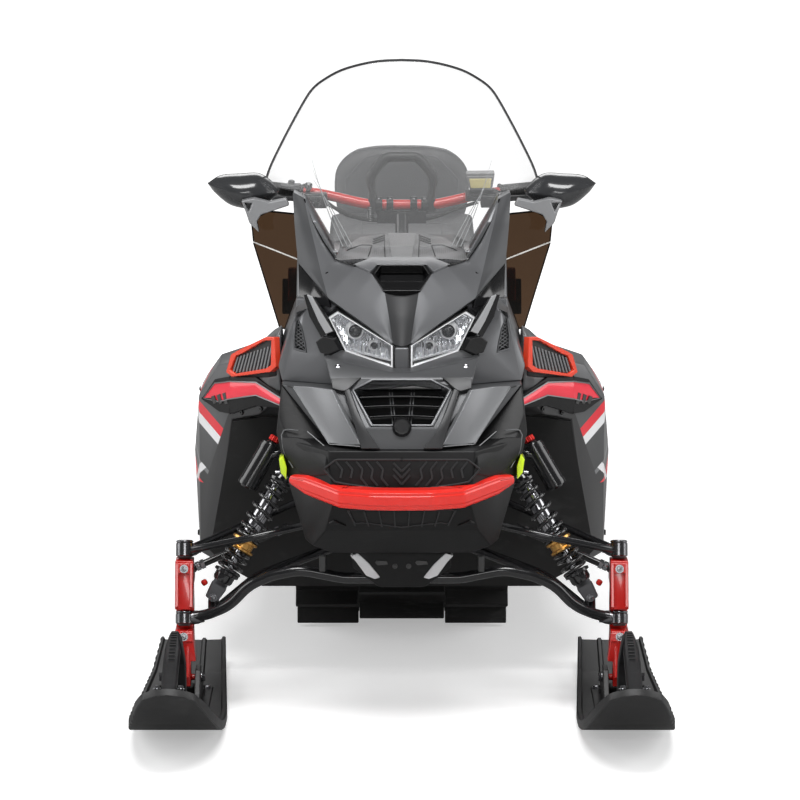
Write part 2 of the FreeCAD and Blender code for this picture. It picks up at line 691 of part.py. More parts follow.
def skis():
    """Two plastic skis with a keel, a saddle for the spindle foot and a lifting handle."""
    centre = "ski_stance / 2"
    tip = "spindle - ski_nose"
    curve = "spindle + ski_curve_start"
    flat_end = "spindle + ski_flat_behind"
    tail = "spindle + ski_tail"

    # the plate: a flat run, a tail that lifts and a nose on an arc of ski_radius
    radius = value("ski_radius")
    thick = value("ski_plate")
    hub = at(0, curve, "plate_bottom + ski_radius")
    angle = math.asin(value("ski_curve") / radius)

    def nose(r, share):
        return hub + Vector(0, -r * math.sin(angle * share), -r * math.cos(angle * share))

    lower = Part.Arc(nose(radius, 0), nose(radius, 0.5), nose(radius, 1)).toShape()
    upper = Part.Arc(nose(radius - thick, 1), nose(radius - thick, 0.5), nose(radius - thick, 0))
    end = Part.LineSegment(nose(radius, 1), nose(radius - thick, 1)).toShape()
    rest = Part.makePolygon([
        nose(radius - thick, 0),
        at(0, flat_end, "plate_top"),
        at(0, tail, "plate_top + ski_tail_rise"),
        at(0, tail, "plate_bottom + ski_tail_rise"),
        at(0, flat_end, "plate_bottom"),
        nose(radius, 0),
    ])
    profile = Part.Face(Part.Wire([lower, end, upper.toShape()] + rest.Edges))
    profile.translate(at("ski_stance / 2 - ski_width / 2", 0, 0))
    strip = made("ski_strip", profile.extrude(at("ski_width", 0, 0)))

    # the outline seen from above, with a rounded nose
    wide = value("ski_width") / 2
    rear = value("ski_tail_width") / 2
    shoulder = value(f"{tip} + ski_nose_round")
    middle = value(centre)
    arc = Part.Arc(Vector(middle + wide, shoulder, 0), Vector(middle, value(tip), 0),
                   Vector(middle - wide, shoulder, 0)).toShape()
    back = Part.makePolygon([
        Vector(middle - wide, shoulder, 0),
        Vector(middle - rear, value(tail), 0),
        Vector(middle + rear, value(tail), 0),
        Vector(middle + wide, shoulder, 0),
    ])
    outline = Part.Face(Part.Wire([arc] + back.Edges))
    prism = made("ski_outline", outline.extrude(at(0, 0, "plate_top + 2 * ski_rise")))
    plate = common("ski_plate_shape", strip, prism)

    keel = solid("ski_keel", "side", [
        (f"{curve} - keel_ramp / 2", "plate_top - keel_bite"),
        (f"{curve} + keel_ramp / 2", 0),
        (flat_end, 0),
        (f"{flat_end} + keel_ramp", "plate_top - keel_bite"),
    ], f"{centre} - keel_width / 2", f"{centre} + keel_width / 2")
    bolt = "spindle + ski_bolt_back"
    walls = []
    for index, sign in enumerate(("-", "+")):
        inner = f"{centre} {sign} saddle_gap / 2"
        outer = f"{centre} {sign} (saddle_gap / 2 + saddle_wall)"
        low, high = (outer, inner) if sign == "-" else (inner, outer)
        walls.append(solid(f"saddle_{index}", "side", [
            (f"{bolt} - saddle_front", "plate_top - keel_bite"),
            (f"{bolt} - saddle_head / 2", "saddle_top"),
            (f"{bolt} + saddle_head / 2", "saddle_top"),
            (f"{bolt} + saddle_rear", "plate_top - keel_bite"),
        ], low, high))
    hole = rod_across("ski_bolt_hole", "ski_bolt_radius + running_fit",
                      (f"{centre} - saddle_gap", f"{centre} + saddle_gap"),
                      bolt, "ski_bolt_height")
    whole = joined("ski_whole", plate, keel, *walls)
    left = node(cut("ski_l", whole, hole), "ski_left")
    node(mirror(left, "ski_r"), "ski_right")

    def in_nose(from_tip):
        """A point half way through the plate, in the side view."""
        return (f"{tip} + {from_tip}", "plate_bottom + ski_radius - sqrt((ski_radius - ski_plate / 2)"
                f" ^ 2 - (ski_curve - {from_tip}) ^ 2)")

    handle = solid("loop_strap", "side", [
        in_nose("loop_front"),
        (f"{tip} + loop_peak_front", "plate_top + loop_peak"),
        (f"{tip} + loop_peak_rear", "plate_top + loop_peak"),
        (f"{tip} + loop_knee", "plate_top + loop_knee_up"),
        (f"{tip} + loop_end", "plate_top - ski_plate / 2"),
        (f"{tip} + loop_end - loop_thick", "plate_top - ski_plate / 2"),
        (f"{tip} + loop_knee - loop_thick", "plate_top + loop_knee_up - loop_thick"),
        (f"{tip} + loop_peak_rear", "plate_top + loop_peak - loop_thick"),
        (f"{tip} + loop_peak_front", "plate_top + loop_peak - loop_thick"),
        in_nose("(loop_front + loop_foot)"),
    ], f"{centre} - loop_width / 2", f"{centre} + loop_width / 2")
    seated = node(cut("loop_l", handle, whole), "ski_loop_left")
    node(mirror(seated, "loop_r"), "ski_loop_right")


def spindles():
    """Steered legs between the ball joints and the ski bolt, with a steering arm behind."""
    centre = "leg_half"
    lean = "caster_back / (upper_ball_height - lower_ball_height)"

    def on_axis(height, shift):
        return (f"spindle + ({height} - lower_ball_height) * {lean} + {shift}", height)

    top = "(upper_ball_height - ball_radius - leg_top_gap)"
    foot = "(ski_bolt_height - foot_drop)"
    leg = solid("leg_shape", "side", [
        on_axis(top, "leg_depth / 2"), on_axis(top, "-leg_depth / 2"),
        on_axis("(lower_ball_height - leg_swell * 3 / 4)", "-leg_depth / 2"),
        on_axis(foot, "-foot_front"), on_axis(foot, "(foot_depth - foot_front)"),
        on_axis("(lower_ball_height - leg_swell)", "leg_depth * 2 / 3"),
        on_axis("(lower_ball_height - leg_swell / 2)", "leg_back"),
        on_axis("(lower_ball_height + leg_swell / 2)", "leg_back"),
        on_axis("(lower_ball_height + leg_swell)", "leg_depth * 2 / 3"),
    ], f"{centre} - leg_width / 2", f"{centre} + leg_width / 2")
    near = ("spindle - leg_depth * 2", "spindle + leg_back * 2")
    pocket = block("leg_pocket", (f"{centre} - leg_width", f"{centre} + leg_width"),
                   (near[0], "spindle + 2 * ball_radius - leg_top_gap"),
                   ("lower_ball_height - ball_radius - joint_gap",
                    "lower_ball_height + ball_radius + joint_gap"))
    thin = "(ski_bolt_height + foot_depth)"
    outer_side = block("foot_trim_out",
                       ("ski_stance / 2 + foot_width / 2", f"{centre} + leg_width"), near, (0, thin))
    inner_side = block("foot_trim_in",
                       (f"{centre} - leg_width", "ski_stance / 2 - foot_width / 2"), near, (0, thin))
    leg = cut("leg_trimmed", leg, pocket, outer_side, inner_side)
    seat_z = "(arm_eye_height - rod_ball_radius - leg_top_gap)"
    arm_end = "spindle + arm_eye_back + rod_ball_radius"
    root = "spindle + leg_depth * 2 / 3"
    arm = solid("steering_arm", "side", [
        (root, f"{seat_z} - arm_root_thick"), (arm_end, f"{seat_z} - arm_thick"),
        (arm_end, seat_z), (root, seat_z),
    ], "arm_eye_half - rod_ball_radius", "arm_eye_half + rod_ball_radius")
    reach = "(saddle_gap / 2 + saddle_wall + bolt_end)"
    bolt = rod_across("ski_bolt", "ski_bolt_radius",
                      (f"ski_stance / 2 - {reach}", f"ski_stance / 2 + {reach}"),
                      "spindle + ski_bolt_back", "ski_bolt_height")
    left = node(joined("spindle_l", leg, arm, bolt), "spindle_left")
    node(mirror(left, "spindle_r"), "spindle_right")

    eye = at("arm_eye_half", "spindle + arm_eye_back", "arm_eye_height")
    inner = at("rod_inner_half", "spindle + arm_eye_back + rod_set_back", "rod_inner_height")
    ball = Part.makeSphere(value("rod_ball_radius"), eye)
    rod = made("tie_rod_l", bar(eye, inner, value("rod_radius")).fuse(ball).removeSplitter())
    node(rod, "tie_rod_left")
    node(mirror(rod, "tie_rod_r"), "tie_rod_right")


def front_suspension(frame, chin):
    """Upper and lower arms, dampers, coil springs and reservoirs, two of each."""
    upper_ball = at("leg_half", "spindle + caster_back", "upper_ball_height")
    lower_ball = at("leg_half", "spindle", "lower_ball_height")
    ball = value("ball_radius")
    thin = value("upper_tube")
    thick = value("lower_tube")

    def bends(ball_height, mount, *names):
        """Points of a tube that runs from its ball joint to its inner mount."""
        return [at(f"leg_half - {name}_share * (leg_half - {mount})", f"spindle + {name}_back",
                   f"{ball_height} + {name}_rise") for name in names]

    upper = ("upper_ball_height", "(frame_inner + frame_head / 2)")
    lower = ("lower_ball_height", "lug_half")

    front_tube = tube([upper_ball] + bends(*upper, "upper_elbow", "upper_middle", "upper_mount"),
                      thin, value("soft_bend"))
    rear_tube = bar(upper_ball, bends(*upper, "upper_rear_mount")[0], thin)
    upper_arm = made("upper_arm_raw",
                     front_tube.fuse([rear_tube, Part.makeSphere(ball, upper_ball)]))

    front_tube = tube([lower_ball] + bends(
        *lower, "lower_elbow", "lower_rise", "lower_knee", "lower_hump", "lower_top",
        "lower_mount", "lower_end"), thick, value("arm_bend"))
    rear_tube = tube(bends(*lower, "rear_start", "rear_middle", "rear_mount"), thick - 1,
                     value("soft_bend"))
    foot = at("shock_eye_half", "spindle + shock_eye_back", "shock_eye_height")
    head = at("shock_top_half", "spindle + shock_top_back", "shock_top_height")
    bracket = bar(at("shock_eye_half", "spindle", "lower_ball_height + lower_tube"),
                  foot - Vector(0, 0, thick / 2), thick)
    lower_arm = made("lower_arm_raw",
                     front_tube.fuse([rear_tube, bracket, Part.makeSphere(ball, lower_ball)]))

    run = (head - foot).normalize()
    eye = value("shock_eye_radius")
    spring_start = foot + run * value("spring_start")
    spring_end = foot + run * value("spring_end")
    radius = value("spring_radius")
    shaft = bar(foot, head, value("damper_rod"))
    seat = bar(spring_start - run * value("spring_seat"), spring_start, value("reservoir_radius"))
    body = bar(foot + run * value("damper_start"), head - run * eye, value("shock_radius"))
    collar = bar(spring_end, spring_end + run * value("collar_length"), radius)
    eyes = [Part.makeCylinder(eye, eye * 2, spot - Vector(0, eye, 0), Vector(0, 1, 0))
            for spot in (foot, head)]
    bolt = bar(at("frame_inner", "spindle + shock_top_back", "shock_top_height"), head,
               value("shock_bolt"))
    shock = cut("shock", made("shock_raw", shaft.fuse([seat, body, collar, bolt] + eyes)), frame)
    outer = bar(spring_start, spring_end, radius)
    inner = bar(spring_start, spring_end, radius - value("spring_wire"))
    spring = made("spring", outer.cut(inner))

    # the reservoir stands beside the upper end of the damper
    beside = Vector(run.z, 0, -run.x).normalize() * value("reservoir_gap")
    middle = head + beside + at(0, "reservoir_back", 0)
    low = middle - run * value("reservoir_below")
    high = middle + run * value("reservoir_above")
    can = bar(low, high, value("reservoir_radius"))
    stay = bar(middle, at("rod_inner_half", "spindle + shock_top_back", "chin_low_up + fold / 2"),
               value("reservoir_stay"))
    can = cut("reservoir", made("reservoir_raw", can.fuse(stay)), chin)

    node(pair("upper_arms", cut("upper_arm", upper_arm, shock, frame)), "upper_arms")
    node(pair("lower_arms", cut("lower_arm", lower_arm, shock, frame)), "lower_arms")
    node(pair("shocks", shock), "front_shocks")
    node(pair("springs", spring), "front_springs")
    node(pair("reservoirs", can), "shock_reservoirs")


def chassis():
    """Front frame, engine, tunnel, running boards, skid plate."""
    rear = "spindle + tunnel_front"
    nose = "spindle - frame_front"
    base = "(belly_low_up + belly_skin)"
    plates = solid("frame_plate", "front", [
        ("frame_inner", base), ("frame_inner + frame_plate_foot", f"{base} + frame_rise"),
        ("frame_inner + frame_head", "chin_low_up"), ("frame_inner", "chin_low_up"),
    ], nose, rear)
    window = block("rod_window", ("frame_inner - frame_head", "frame_inner + frame_head * 2"),
                   ("spindle + window_front", "spindle + window_rear"), ("window_low", "window_high"))
    plate = cut("frame_plate_cut", plates, window)
    floor = block("frame_floor_plate", ("-frame_inner", "frame_inner"), (nose, rear),
                  (base, f"{base} + frame_floor"))
    keel = solid("frame_keel", "front", both_sides([
        ("keel_half", "belly_low_up - keel_low"), ("keel_side", "belly_low_up - keel_rise"),
        ("keel_side", f"{base} + frame_floor / 2"),
    ]), "spindle - lug_half / 2", rear)
    lug = block("arm_lug", ("-lug_half", "lug_half"), ("spindle - lug_reach", "spindle"),
                ("belly_low_up - keel_low", "belly_low_up - keel_low + lug_tall"))
    frame = node(joined("frame", plate, mirror(plate), floor, keel, lug), "front_frame")

    node(solid("skid", "front", both_sides([
        ("keel_half", "belly_low_up - keel_low - skid_proud"),
        ("keel_side + skid_proud", "belly_low_up - keel_rise"),
        ("keel_side + skid_proud", "belly_low_up"),
    ]), "spindle - lug_reach - skid_thick", "spindle - lug_reach"), "skid_plate")

    node(block("engine_block", ("engine_gap - frame_inner", "frame_inner - engine_gap"),
               ("spindle + engine_front", f"{rear} - engine_rear_gap"),
               (f"{base} + frame_floor", "engine_top")), "engine")

    end = "tunnel_end"
    under = "tunnel_top_height - tunnel_plate"
    node(block("tunnel_sheet", HALF, (rear, end), (under, "tunnel_top_height")), "tunnel_top")
    wall = solid("tunnel_wall", "side", [
        (rear, base), (f"{rear} + tunnel_slope", "board_height"),
        (f"{end} - tunnel_slope", "board_height"), (end, "board_height + tunnel_tail_rise"),
        (end, under), (rear, under),
    ], "body_half - tunnel_plate", "body_half")
    node(pair("tunnel_walls", wall), "tunnel_sides")

    lip = "board_half - board_lip_thick"
    board = solid("board", "front", [
        ("body_half", "board_height"), ("board_half", "board_height"),
        ("board_half", "board_height + board_lip"), (lip, "board_height + board_lip"),
        (lip, "board_height + board_plate"), ("body_half", "board_height + board_plate"),
    ], "spindle + panel_rear", f"{end} - board_tail")
    node(pair("boards", board), "running_boards")
    return frame


def bodywork(frame):
    """Hood, nose, lamps, side panels, console and belly, cut so that they meet at their seams."""
    lamp_face = solid("lamp_face", "front", [
        front("lamp_outer_top"), front("lamp_outer"), front("lamp_outer_low"),
        front("lamp_inner_low"), front("lamp_inner"),
    ], *DEEP)
    inner, inner_y = "lamp_inner_out - seam * 4", "spindle + lamp_inner_back"
    outer, outer_y = "lamp_outer_out + seam * 4", "spindle + lamp_outer_back"
    lamp_plan = solid("lamp_plan", "plan", [
        (inner, inner_y), (outer, outer_y),
        (outer, f"{outer_y} + lamp_depth"), (inner, f"{inner_y} + lamp_depth"),
    ], *TALL)
    lamp = common("lamp", lamp_face, lamp_plan)
    lamps = node(pair("lamps", lamp), "headlights")

    hood_side = solid("hood_side", "side", [
        side("hood_foot"), side("hood_tip"), side("scoop"), side("brow"),
        ("spindle + hood_shoulder_back", "cowl_up + seam"), side("pillar_out"), side("pillar_back"),
        side("hood_rear"), ("spindle + hood_rear_back", "hood_foot_up"),
    ], *HALF)
    hood_front = solid("hood_front", "front", both_sides([
        ("body_half", "hood_foot_up"), front("cheek_top_out"), front("hood_shoulder"),
        front("pillar_out"), front("pillar_in"), front("cowl"),
    ]), *DEEP)
    hood_plan = solid("hood_plan", "plan", both_sides([
        plan("hood_tip"), plan("lamp_outer_top"), plan("cheek_top_out"),
        ("body_half", "spindle + hood_shoulder_back"), ("body_half", "spindle + hood_rear_back"),
    ]), *TALL)
    cavity = block("hood_cavity", ("-hood_cavity_front_out", "hood_cavity_front_out"),
                   ("spindle + hood_cavity_front_back", "spindle + hood_cavity_rear_back"),
                   ("hood_cavity_front_up", "hood_cavity_rear_up"))
    passage = rod_on_post("post_passage", "post_radius + post_clearance",
                          "-post_length - bearing_length", "bearing_length")
    hood = common("hood_shape", hood_side, hood_front, hood_plan)
    hood = node(cut("hood_cut", hood, lamps, cavity, passage), "hood")

    cheek_front = solid("cheek_front", "front", [
        front("cheek_top_in"), front("cheek_top_out"), front("cheek_out"),
        front("cheek_low_out"), front("cheek_low_in"), front("cheek_in"), front("lamp_outer"),
    ], *DEEP)
    cheek_plan = solid("cheek_plan", "plan", [
        plan("cheek_low_in"), ("body_half", "spindle + cheek_low_out_back"),
        ("body_half", "spindle + hood_shoulder_back"), ("cheek_low_in_out", "spindle + cheek_top_out_back"),
    ], *TALL)
    cheek = common("cheek_shape", cheek_front, cheek_plan)
    cheeks = node(pair("cheeks", cut("cheek", cheek, hood, lamps)), "nose_vents")

    nose_back = "spindle + chin_side_back + fold * 2"
    nose_step = "spindle + nose_low_back + fold * 2"
    nose_side = solid("nose_side", "side", [
        ("spindle + lamp_inner_low_back - seam * 6", "cheek_in_up"), side("grille_top"),
        side("grille_low"), side("nose_low"),
        (nose_step, "nose_low_up"), (nose_back, "cheek_low_out_up"), (nose_back, "cheek_in_up"),
    ], *HALF)
    nose_front = solid("nose_front", "front", both_sides([
        front("nose_low"), front("cheek_low_out"), front("cheek_low_in"),
        front("cheek_in"), front("lamp_outer_low"), front("lamp_inner_low"),
    ]), *DEEP)
    nose_plan = solid("nose_plan", "plan", both_sides([
        ("grille_low_out", "spindle + nose_low_back"), ("nose_low_out", "spindle + nose_low_back + fold"),
        ("cheek_low_out_out", "spindle + chin_side_back + fold / 2"), ("cheek_low_out_out", nose_back),
    ]), *TALL)
    nose = common("nose_shape", nose_side, nose_front, nose_plan)
    nose = node(cut("nose", nose, lamps, hood, cheeks), "nose_panel")

    chin_side = solid("chin_side_view", "side", [
        ("spindle + nose_low_back - seam * 4", "nose_low_up"), side("chin_front"), side("chin_low"),
        (nose_back, "chin_low_up"), (nose_back, "cheek_low_out_up"),
        ("spindle + chin_side_back + fold / 2", "cheek_low_out_up"), (nose_step, "nose_low_up"),
    ], "-chin_side_out", "chin_side_out")
    chin_front = solid("chin_front_view", "front", both_sides([
        front("chin_low"), front("chin_side"), front("cheek_low_out"), front("nose_low"),
    ]), *DEEP)
    chin_plan = solid("chin_plan_view", "plan", both_sides([
        ("chin_front_out", "spindle + chin_low_back"), ("chin_low_out", nose_step),
        plan("chin_side"), ("chin_side_out", nose_back),
    ]), *TALL)
    chin = common("chin_shape", chin_side, chin_front, chin_plan)
    chin = node(cut("chin", chin, nose, cheeks), "lower_nose")

    frame_line = "spindle - frame_front"
    belly_side = solid("belly_side_view", "side", [
        ("spindle + belly_front_back", "chin_low_up"),
        ("spindle + belly_side_back - fold", "belly_front_up"),
        side("belly_low"), (frame_line, "belly_low_up"), (frame_line, "chin_low_up"),
    ], *HALF)
    belly_front = solid("belly_front_view", "front", both_sides([
        front("belly_low"), front("belly_side"), front("chin_low"),
    ]), *DEEP)
    belly_plan = solid("belly_plan_view", "plan", both_sides([
        plan("belly_front"), plan("belly_side"),
        ("chin_low_out", f"{frame_line} - fold / 2"), ("chin_low_out", frame_line),
    ]), *TALL)
    bow = common("belly_bow", belly_side, belly_front, belly_plan)
    tray = block("belly_tray", ("-belly_low_out", "belly_low_out"),
                 (f"{frame_line} - belly_skin", "spindle + tunnel_front"),
                 ("belly_low_up", "belly_low_up + belly_skin"))
    belly = joined("belly_whole", bow, tray)
    belly = node(cut("belly", belly, frame), "belly_pan")

    band = solid("bumper_band", "plan", both_sides([
        ("bumper_tip_out - bumper_reach", "spindle + bumper_tip_back + bumper_reach / 2"),
        plan("bumper_tip"), plan("bumper_bend"), plan("bumper_front"),
    ]), "bumper_low", "bumper_high")
    node(cut("bumper", band, belly, chin), "front_bumper")

    gleam = solid("reflector_face", "front", [
        front("reflector_top"), front("reflector_in"), front("reflector_low"),
        front("reflector_out"), front("reflector_high"),
    ], "spindle + reflector_top_back", "spindle + reflector_out_back")
    node(pair("reflectors", cut("reflector", gleam, chin, belly)), "front_reflectors")

    panel_front = solid("panel_front_view", "front", [
        ("body_half", "panel_top_up + fold"), front("panel_top"), front("panel_corner"),
        front("panel_wing"), front("panel_out"), front("panel_low"), front("panel_foot"),
        ("body_half", "panel_foot_up + fold"),
    ], *DEEP)
    panel_side = solid("panel_side_view", "side", [
        side("panel_front_top"), side("panel_front_low"), side("panel_arch_top"),
        side("panel_arch_mid"), side("panel_foot"), ("spindle + panel_rear", "panel_foot_up"),
        ("spindle + panel_rear", "panel_rear_up_up"), side("panel_crown_rear"), side("panel_crown"),
    ], "body_half", "panel_out_out")
    end = "spindle + panel_rear"
    panel_plan = solid("panel_plan_view", "plan", [
        ("body_half", "spindle + panel_front_low_back"), plan("panel_front_mid"),
        plan("panel_arch_mid"), plan("panel_wing"), plan("panel_out"),
        ("panel_out_out", f"{end} - fold"), ("board_half", end), ("body_half", end),
    ], *TALL)
    panel = common("panel_shape", panel_front, panel_side, panel_plan)
    vent_front = solid("vent_front_view", "front", [
        front("vent_top_in"), front("vent_top_out"), front("vent_low_out"), front("vent_low_in"),
    ], *DEEP)
    vent_plan = solid("vent_plan_view", "plan", [
        plan("vent_front"), plan("vent_back"), plan("vent_deep"), plan("vent_inside"),
    ], *TALL)
    vent = common("vent_shape", panel, vent_front, vent_plan)
    panels = node(pair("panels", cut("panel", panel, vent)), "side_panels")
    node(pair("vents", vent), "side_vents")

    hood_end = "spindle + hood_rear_back"
    console_side = solid("console_side_view", "side", [
        ("spindle + console_lip_back", "cowl_up"), side("console_lip"), side("console_crown"),
        side("console_edge"), side("console_dash"), side("console_saddle"),
        ("spindle + console_saddle_back", "tunnel_top_height"), (hood_end, "tunnel_top_height"),
        (hood_end, "cowl_up"),
    ], *HALF)
    console_front = solid("console_front_view", "front", both_sides([
        ("console_flank_out", "tunnel_top_height"), front("console_flank"),
        front("console_edge"), front("console_crown"),
    ]), *DEEP)
    console_plan = solid("console_plan_view", "plan", both_sides([
        ("console_flank_out", "spindle + console_lip_back"), plan("console_flank"),
        plan("console_waist"), plan("console_saddle"),
    ]), *TALL)
    foot = "bar_line - post_length * sin(steer_rake)"
    around = "(bearing_radius + post_clearance)"
    room = block("bearing_room", (f"-{around}", around),
                 (f"{foot} - {around}", f"{foot} + {around} + post_radius"),
                 ("tunnel_top_height", "tunnel_top_height + bearing_rise + bearing_length * 2"))
    console = common("console_shape", console_side, console_front, console_plan)
    console = node(cut("console_cut", console, hood, passage, room), "console")

    low, high = "-post_length", "-post_length + bearing_length"
    collar = rod_on_post("bearing_collar", "bearing_radius", low, high)
    pedestal = block("bearing_foot", ("-bearing_radius", "bearing_radius"),
                     (f"{foot} - post_radius", f"{foot} + bearing_radius"),
                     ("tunnel_top_height", "bar_height - post_length * cos(steer_rake) + post_radius"))
    bore = rod_on_post("bearing_bore", "post_radius + running_fit", f"{low} + bearing_floor", 0)
    node(cut("bearing", joined("bearing_raw", collar, pedestal), bore), "steering_bearing")
    return hood, panels, console, chin


def screen(hood, panels, console):
    """Windshield, wind deflectors, mirrors and the brackets that carry them."""
    lean = math.radians(value("screen_lean"))
    axis = Vector(0, math.sin(lean), math.cos(lean))
    radius = value("screen_radius")
    # the front line of the screen passes through the cowl and the top edge
    top = at(0, "spindle + cowl_back + (screen_crown_up - cowl_up) * tan(screen_lean)",
             "screen_crown_up")
    away = Vector(0, math.cos(lean), -math.sin(lean))
    reach = value("screen_crown_up - tunnel_top_height")
    hub = top + away * radius - axis * reach
    curved = made("screen_tube", Part.makeCylinder(radius, reach * 2, hub, axis).cut(
        Part.makeCylinder(radius - value("screen_thick"), reach * 2, hub, axis)))
    face = solid("screen_face", "front", both_sides([
        ("cowl_out", "cowl_up + seam"), ("pillar_in_out - seam", "pillar_in_up + seam"),
        ("pillar_out_out + seam", "pillar_out_up + seam"), front("screen_wide"),
        front("screen_corner"), front("screen_brow"), front("screen_crown"),
    ]), "spindle + cowl_back - fold", "spindle + screen_wide_back + fold")
    shield = common("screen_shape", curved, face)
    shield = node(cut("screen_cut", shield, hood, console), "windshield")

    sheet_top = "(bracket_in_up - bracket_tall)"
    bracket_face = solid("bracket_face", "front", [
        front("bracket_in"), ("bracket_in_out", sheet_top), front("bracket_waist"),
        ("bracket_leg_out - bracket_foot", "bracket_leg_up"), front("bracket_leg_tip"),
        ("mirror_low_in_out", "mirror_low_in_up + seam"),
        ("mirror_low_in_out + bracket_foot", "mirror_low_in_up + bracket_tall"),
    ], *DEEP)
    hole = solid("bracket_hole", "front", [
        front("bracket_hole_in"), front("bracket_hole_out"), front("bracket_hole_low"),
    ], *DEEP)
    slope = "(deflector_out_back - deflector_in_back) / (deflector_out_out - deflector_in_out)"

    def sweep(name, start, end, ahead, behind):
        """A slab that follows the swept plane of the deflectors."""
        corners = []
        for x, offset in ((start, ahead), (end, ahead), (end, behind), (start, behind)):
            corners.append((x, f"spindle + deflector_in_back + ({x} - deflector_in_out) * {slope}"
                               f" + {offset}"))
        return solid(name, "plan", corners, *TALL)

    bracket_plan = sweep("bracket_plan", "bracket_in_out", "bracket_end_out", "(-bracket_thick)", "0")
    mirror_face = solid("mirror_face", "front", [
        front("mirror_tip"), front("mirror_top"), front("mirror_in_top"),
        front("mirror_in"), front("mirror_low_in"), front("mirror_low"),
    ], *DEEP)
    mirror_back = "spindle + mirror_tip_back + mirror_lip"
    mirror_plan = solid("mirror_plan", "plan", [
        plan("mirror_in"), plan("mirror_in_top"), plan("mirror_top"), plan("mirror_low"),
        plan("mirror_tip"), ("mirror_tip_out", mirror_back), ("mirror_in_out", mirror_back),
    ], *TALL)
    housing = cut("mirror_cut", common("mirror_shape", mirror_face, mirror_plan), shield)
    bracket = cut("bracket", common("bracket_shape", bracket_face, bracket_plan), hole, housing, hood)
    node(pair("mirrors", housing), "mirrors")
    node(pair("brackets", bracket), "mirror_brackets")

    sheet_plan = sweep("deflector_plan", "deflector_in_out", "deflector_out_out", "0", "deflector_thick")
    upper = solid("deflector_upper_face", "front", [
        ("deflector_in_out", sheet_top), ("deflector_out_out - deflector_cut", sheet_top),
        front("deflector_out"), ("deflector_seam_out", "deflector_seam_up + seam"),
        ("deflector_in_out", "hood_shoulder_up + seam"),
    ], *DEEP)
    low_edge = "panel_top_up + fold / 2"
    lower = solid("deflector_lower_face", "front", [
        front("deflector_seam"), ("deflector_in_out", "hood_shoulder_up"),
        ("deflector_in_out", low_edge), ("deflector_foot_out + seam * 3", low_edge),
    ], *DEEP)
    upper = cut("deflector_u", common("deflector_upper", sheet_plan, upper), hood, shield)
    lower = cut("deflector_l", common("deflector_lower", sheet_plan, lower), hood, panels)
    node(pair("deflectors_u", upper), "upper_deflectors")
    node(pair("deflectors_l", lower), "lower_deflectors")


def handlebar():
    """Steering post, handlebar, grips, grab hook and hand controls, which turn together."""
    y = "bar_line"
    z = "bar_height"
    post = rod_on_post("post", "post_radius", "-post_length + bearing_floor + post_end_gap",
                       "-riser_tall")
    riser = block("riser", ("-riser_half", "riser_half"),
                  (f"{y} - riser_depth / 2", f"{y} + riser_depth / 2"),
                  (f"{z} - bar_radius - riser_tall", f"{z} - bar_radius"))
    node(joined("post_whole", post, riser), "steering_post")

    right = [at("bar_middle_half", y, z),
             at("bar_knee_half", f"{y} + bar_knee_back", f"{z} + bar_knee_rise"),
             at("bar_half", f"{y} + bar_sweep", f"{z} + bar_rise")]
    left = [Vector(-spot.x, spot.y, spot.z) for spot in reversed(right)]
    steel = made("bar_tube", tube(left + right, value("bar_radius"), value("bar_bend")))
    node(steel, "handlebar")

    end = right[-1]
    run = (right[-2] - end).normalize()
    sleeve = bar(end - run * value("grip_end"), end + run * value("grip_length"), value("grip_radius"))
    grip = cut("grip", made("grip_raw", sleeve), steel)
    node(pair("grips", grip), "grips")

    base = block("control_block", ("control_inner", "control_outer"),
                 (f"{y} - control_ahead", f"{y} + control_behind"),
                 (f"{z} - control_low", f"{z} + control_high"))
    front_line = f"{y} - control_ahead"
    tip = "bar_half - lever_short"
    tip_line = f"{y} + bar_sweep - lever_gap"
    lever = solid("lever", "plan", [
        ("control_outer - lever_depth", front_line),
        ("control_outer - lever_depth", f"{front_line} + lever_depth"),
        (tip, tip_line), (tip, f"{tip_line} - lever_depth"),
        ("control_outer + lever_depth * 3", front_line),
    ], f"{z} + control_high / 2", f"{z} + control_high / 2 + lever_depth")
    control = cut("control", joined("control_raw", base, lever), steel)
    node(pair("controls", control), "hand_controls")

    foot = f"{z} + bar_radius"
    hook = tube([
        at("-hook_half", y, foot), at("-hook_half - hook_flare", y, f"{z} + hook_belly"),
        at("-hook_half / 2", y, f"{z} + hook_top"), at("hook_half / 2", y, f"{z} + hook_top"),
        at("hook_half + hook_flare", y, f"{z} + hook_belly"), at("hook_half", y, foot),
    ], value("hook_radius"), value("hook_bend"))
    node(cut("hook", made("hook_raw", hook), steel), "grab_hook")


def loop_through(circles):
    """A closed belt line around circles in turn: tangent runs and arcs, in the side view.

    Each circle is (y, z, radius) and the belt keeps it on its left hand side.
    """
    spots = []
    for (y1, z1, r1), (y2, z2, r2) in zip(circles, circles[1:] + circles[:1]):
        run = Vector(0, y2 - y1, z2 - z1)
        tilt = math.asin((r1 - r2) / run.Length)
        heading = math.atan2(run.z, run.y) + tilt
        out = Vector(0, math.sin(heading), -math.cos(heading))
        spots.append((Vector(0, y1, z1) + out * r1, Vector(0, y2, z2) + out * r2))
    edges = []
    for index, (y, z, radius) in enumerate(circles):
        arrive = spots[index - 1][1]
        leave = spots[index][0]
        hub = Vector(0, y, z)
        first = math.atan2(arrive.z - z, arrive.y - y)
        last = math.atan2(leave.z - z, leave.y - y)
        if last < first:
            last += 2 * math.pi
        half = (first + last) / 2
        middle = hub + Vector(0, math.cos(half), math.sin(half)) * radius
        edges.append(Part.Arc(arrive, middle, leave).toShape())
        edges.append(Part.LineSegment(*spots[index]).toShape())
    return Part.Wire(edges)


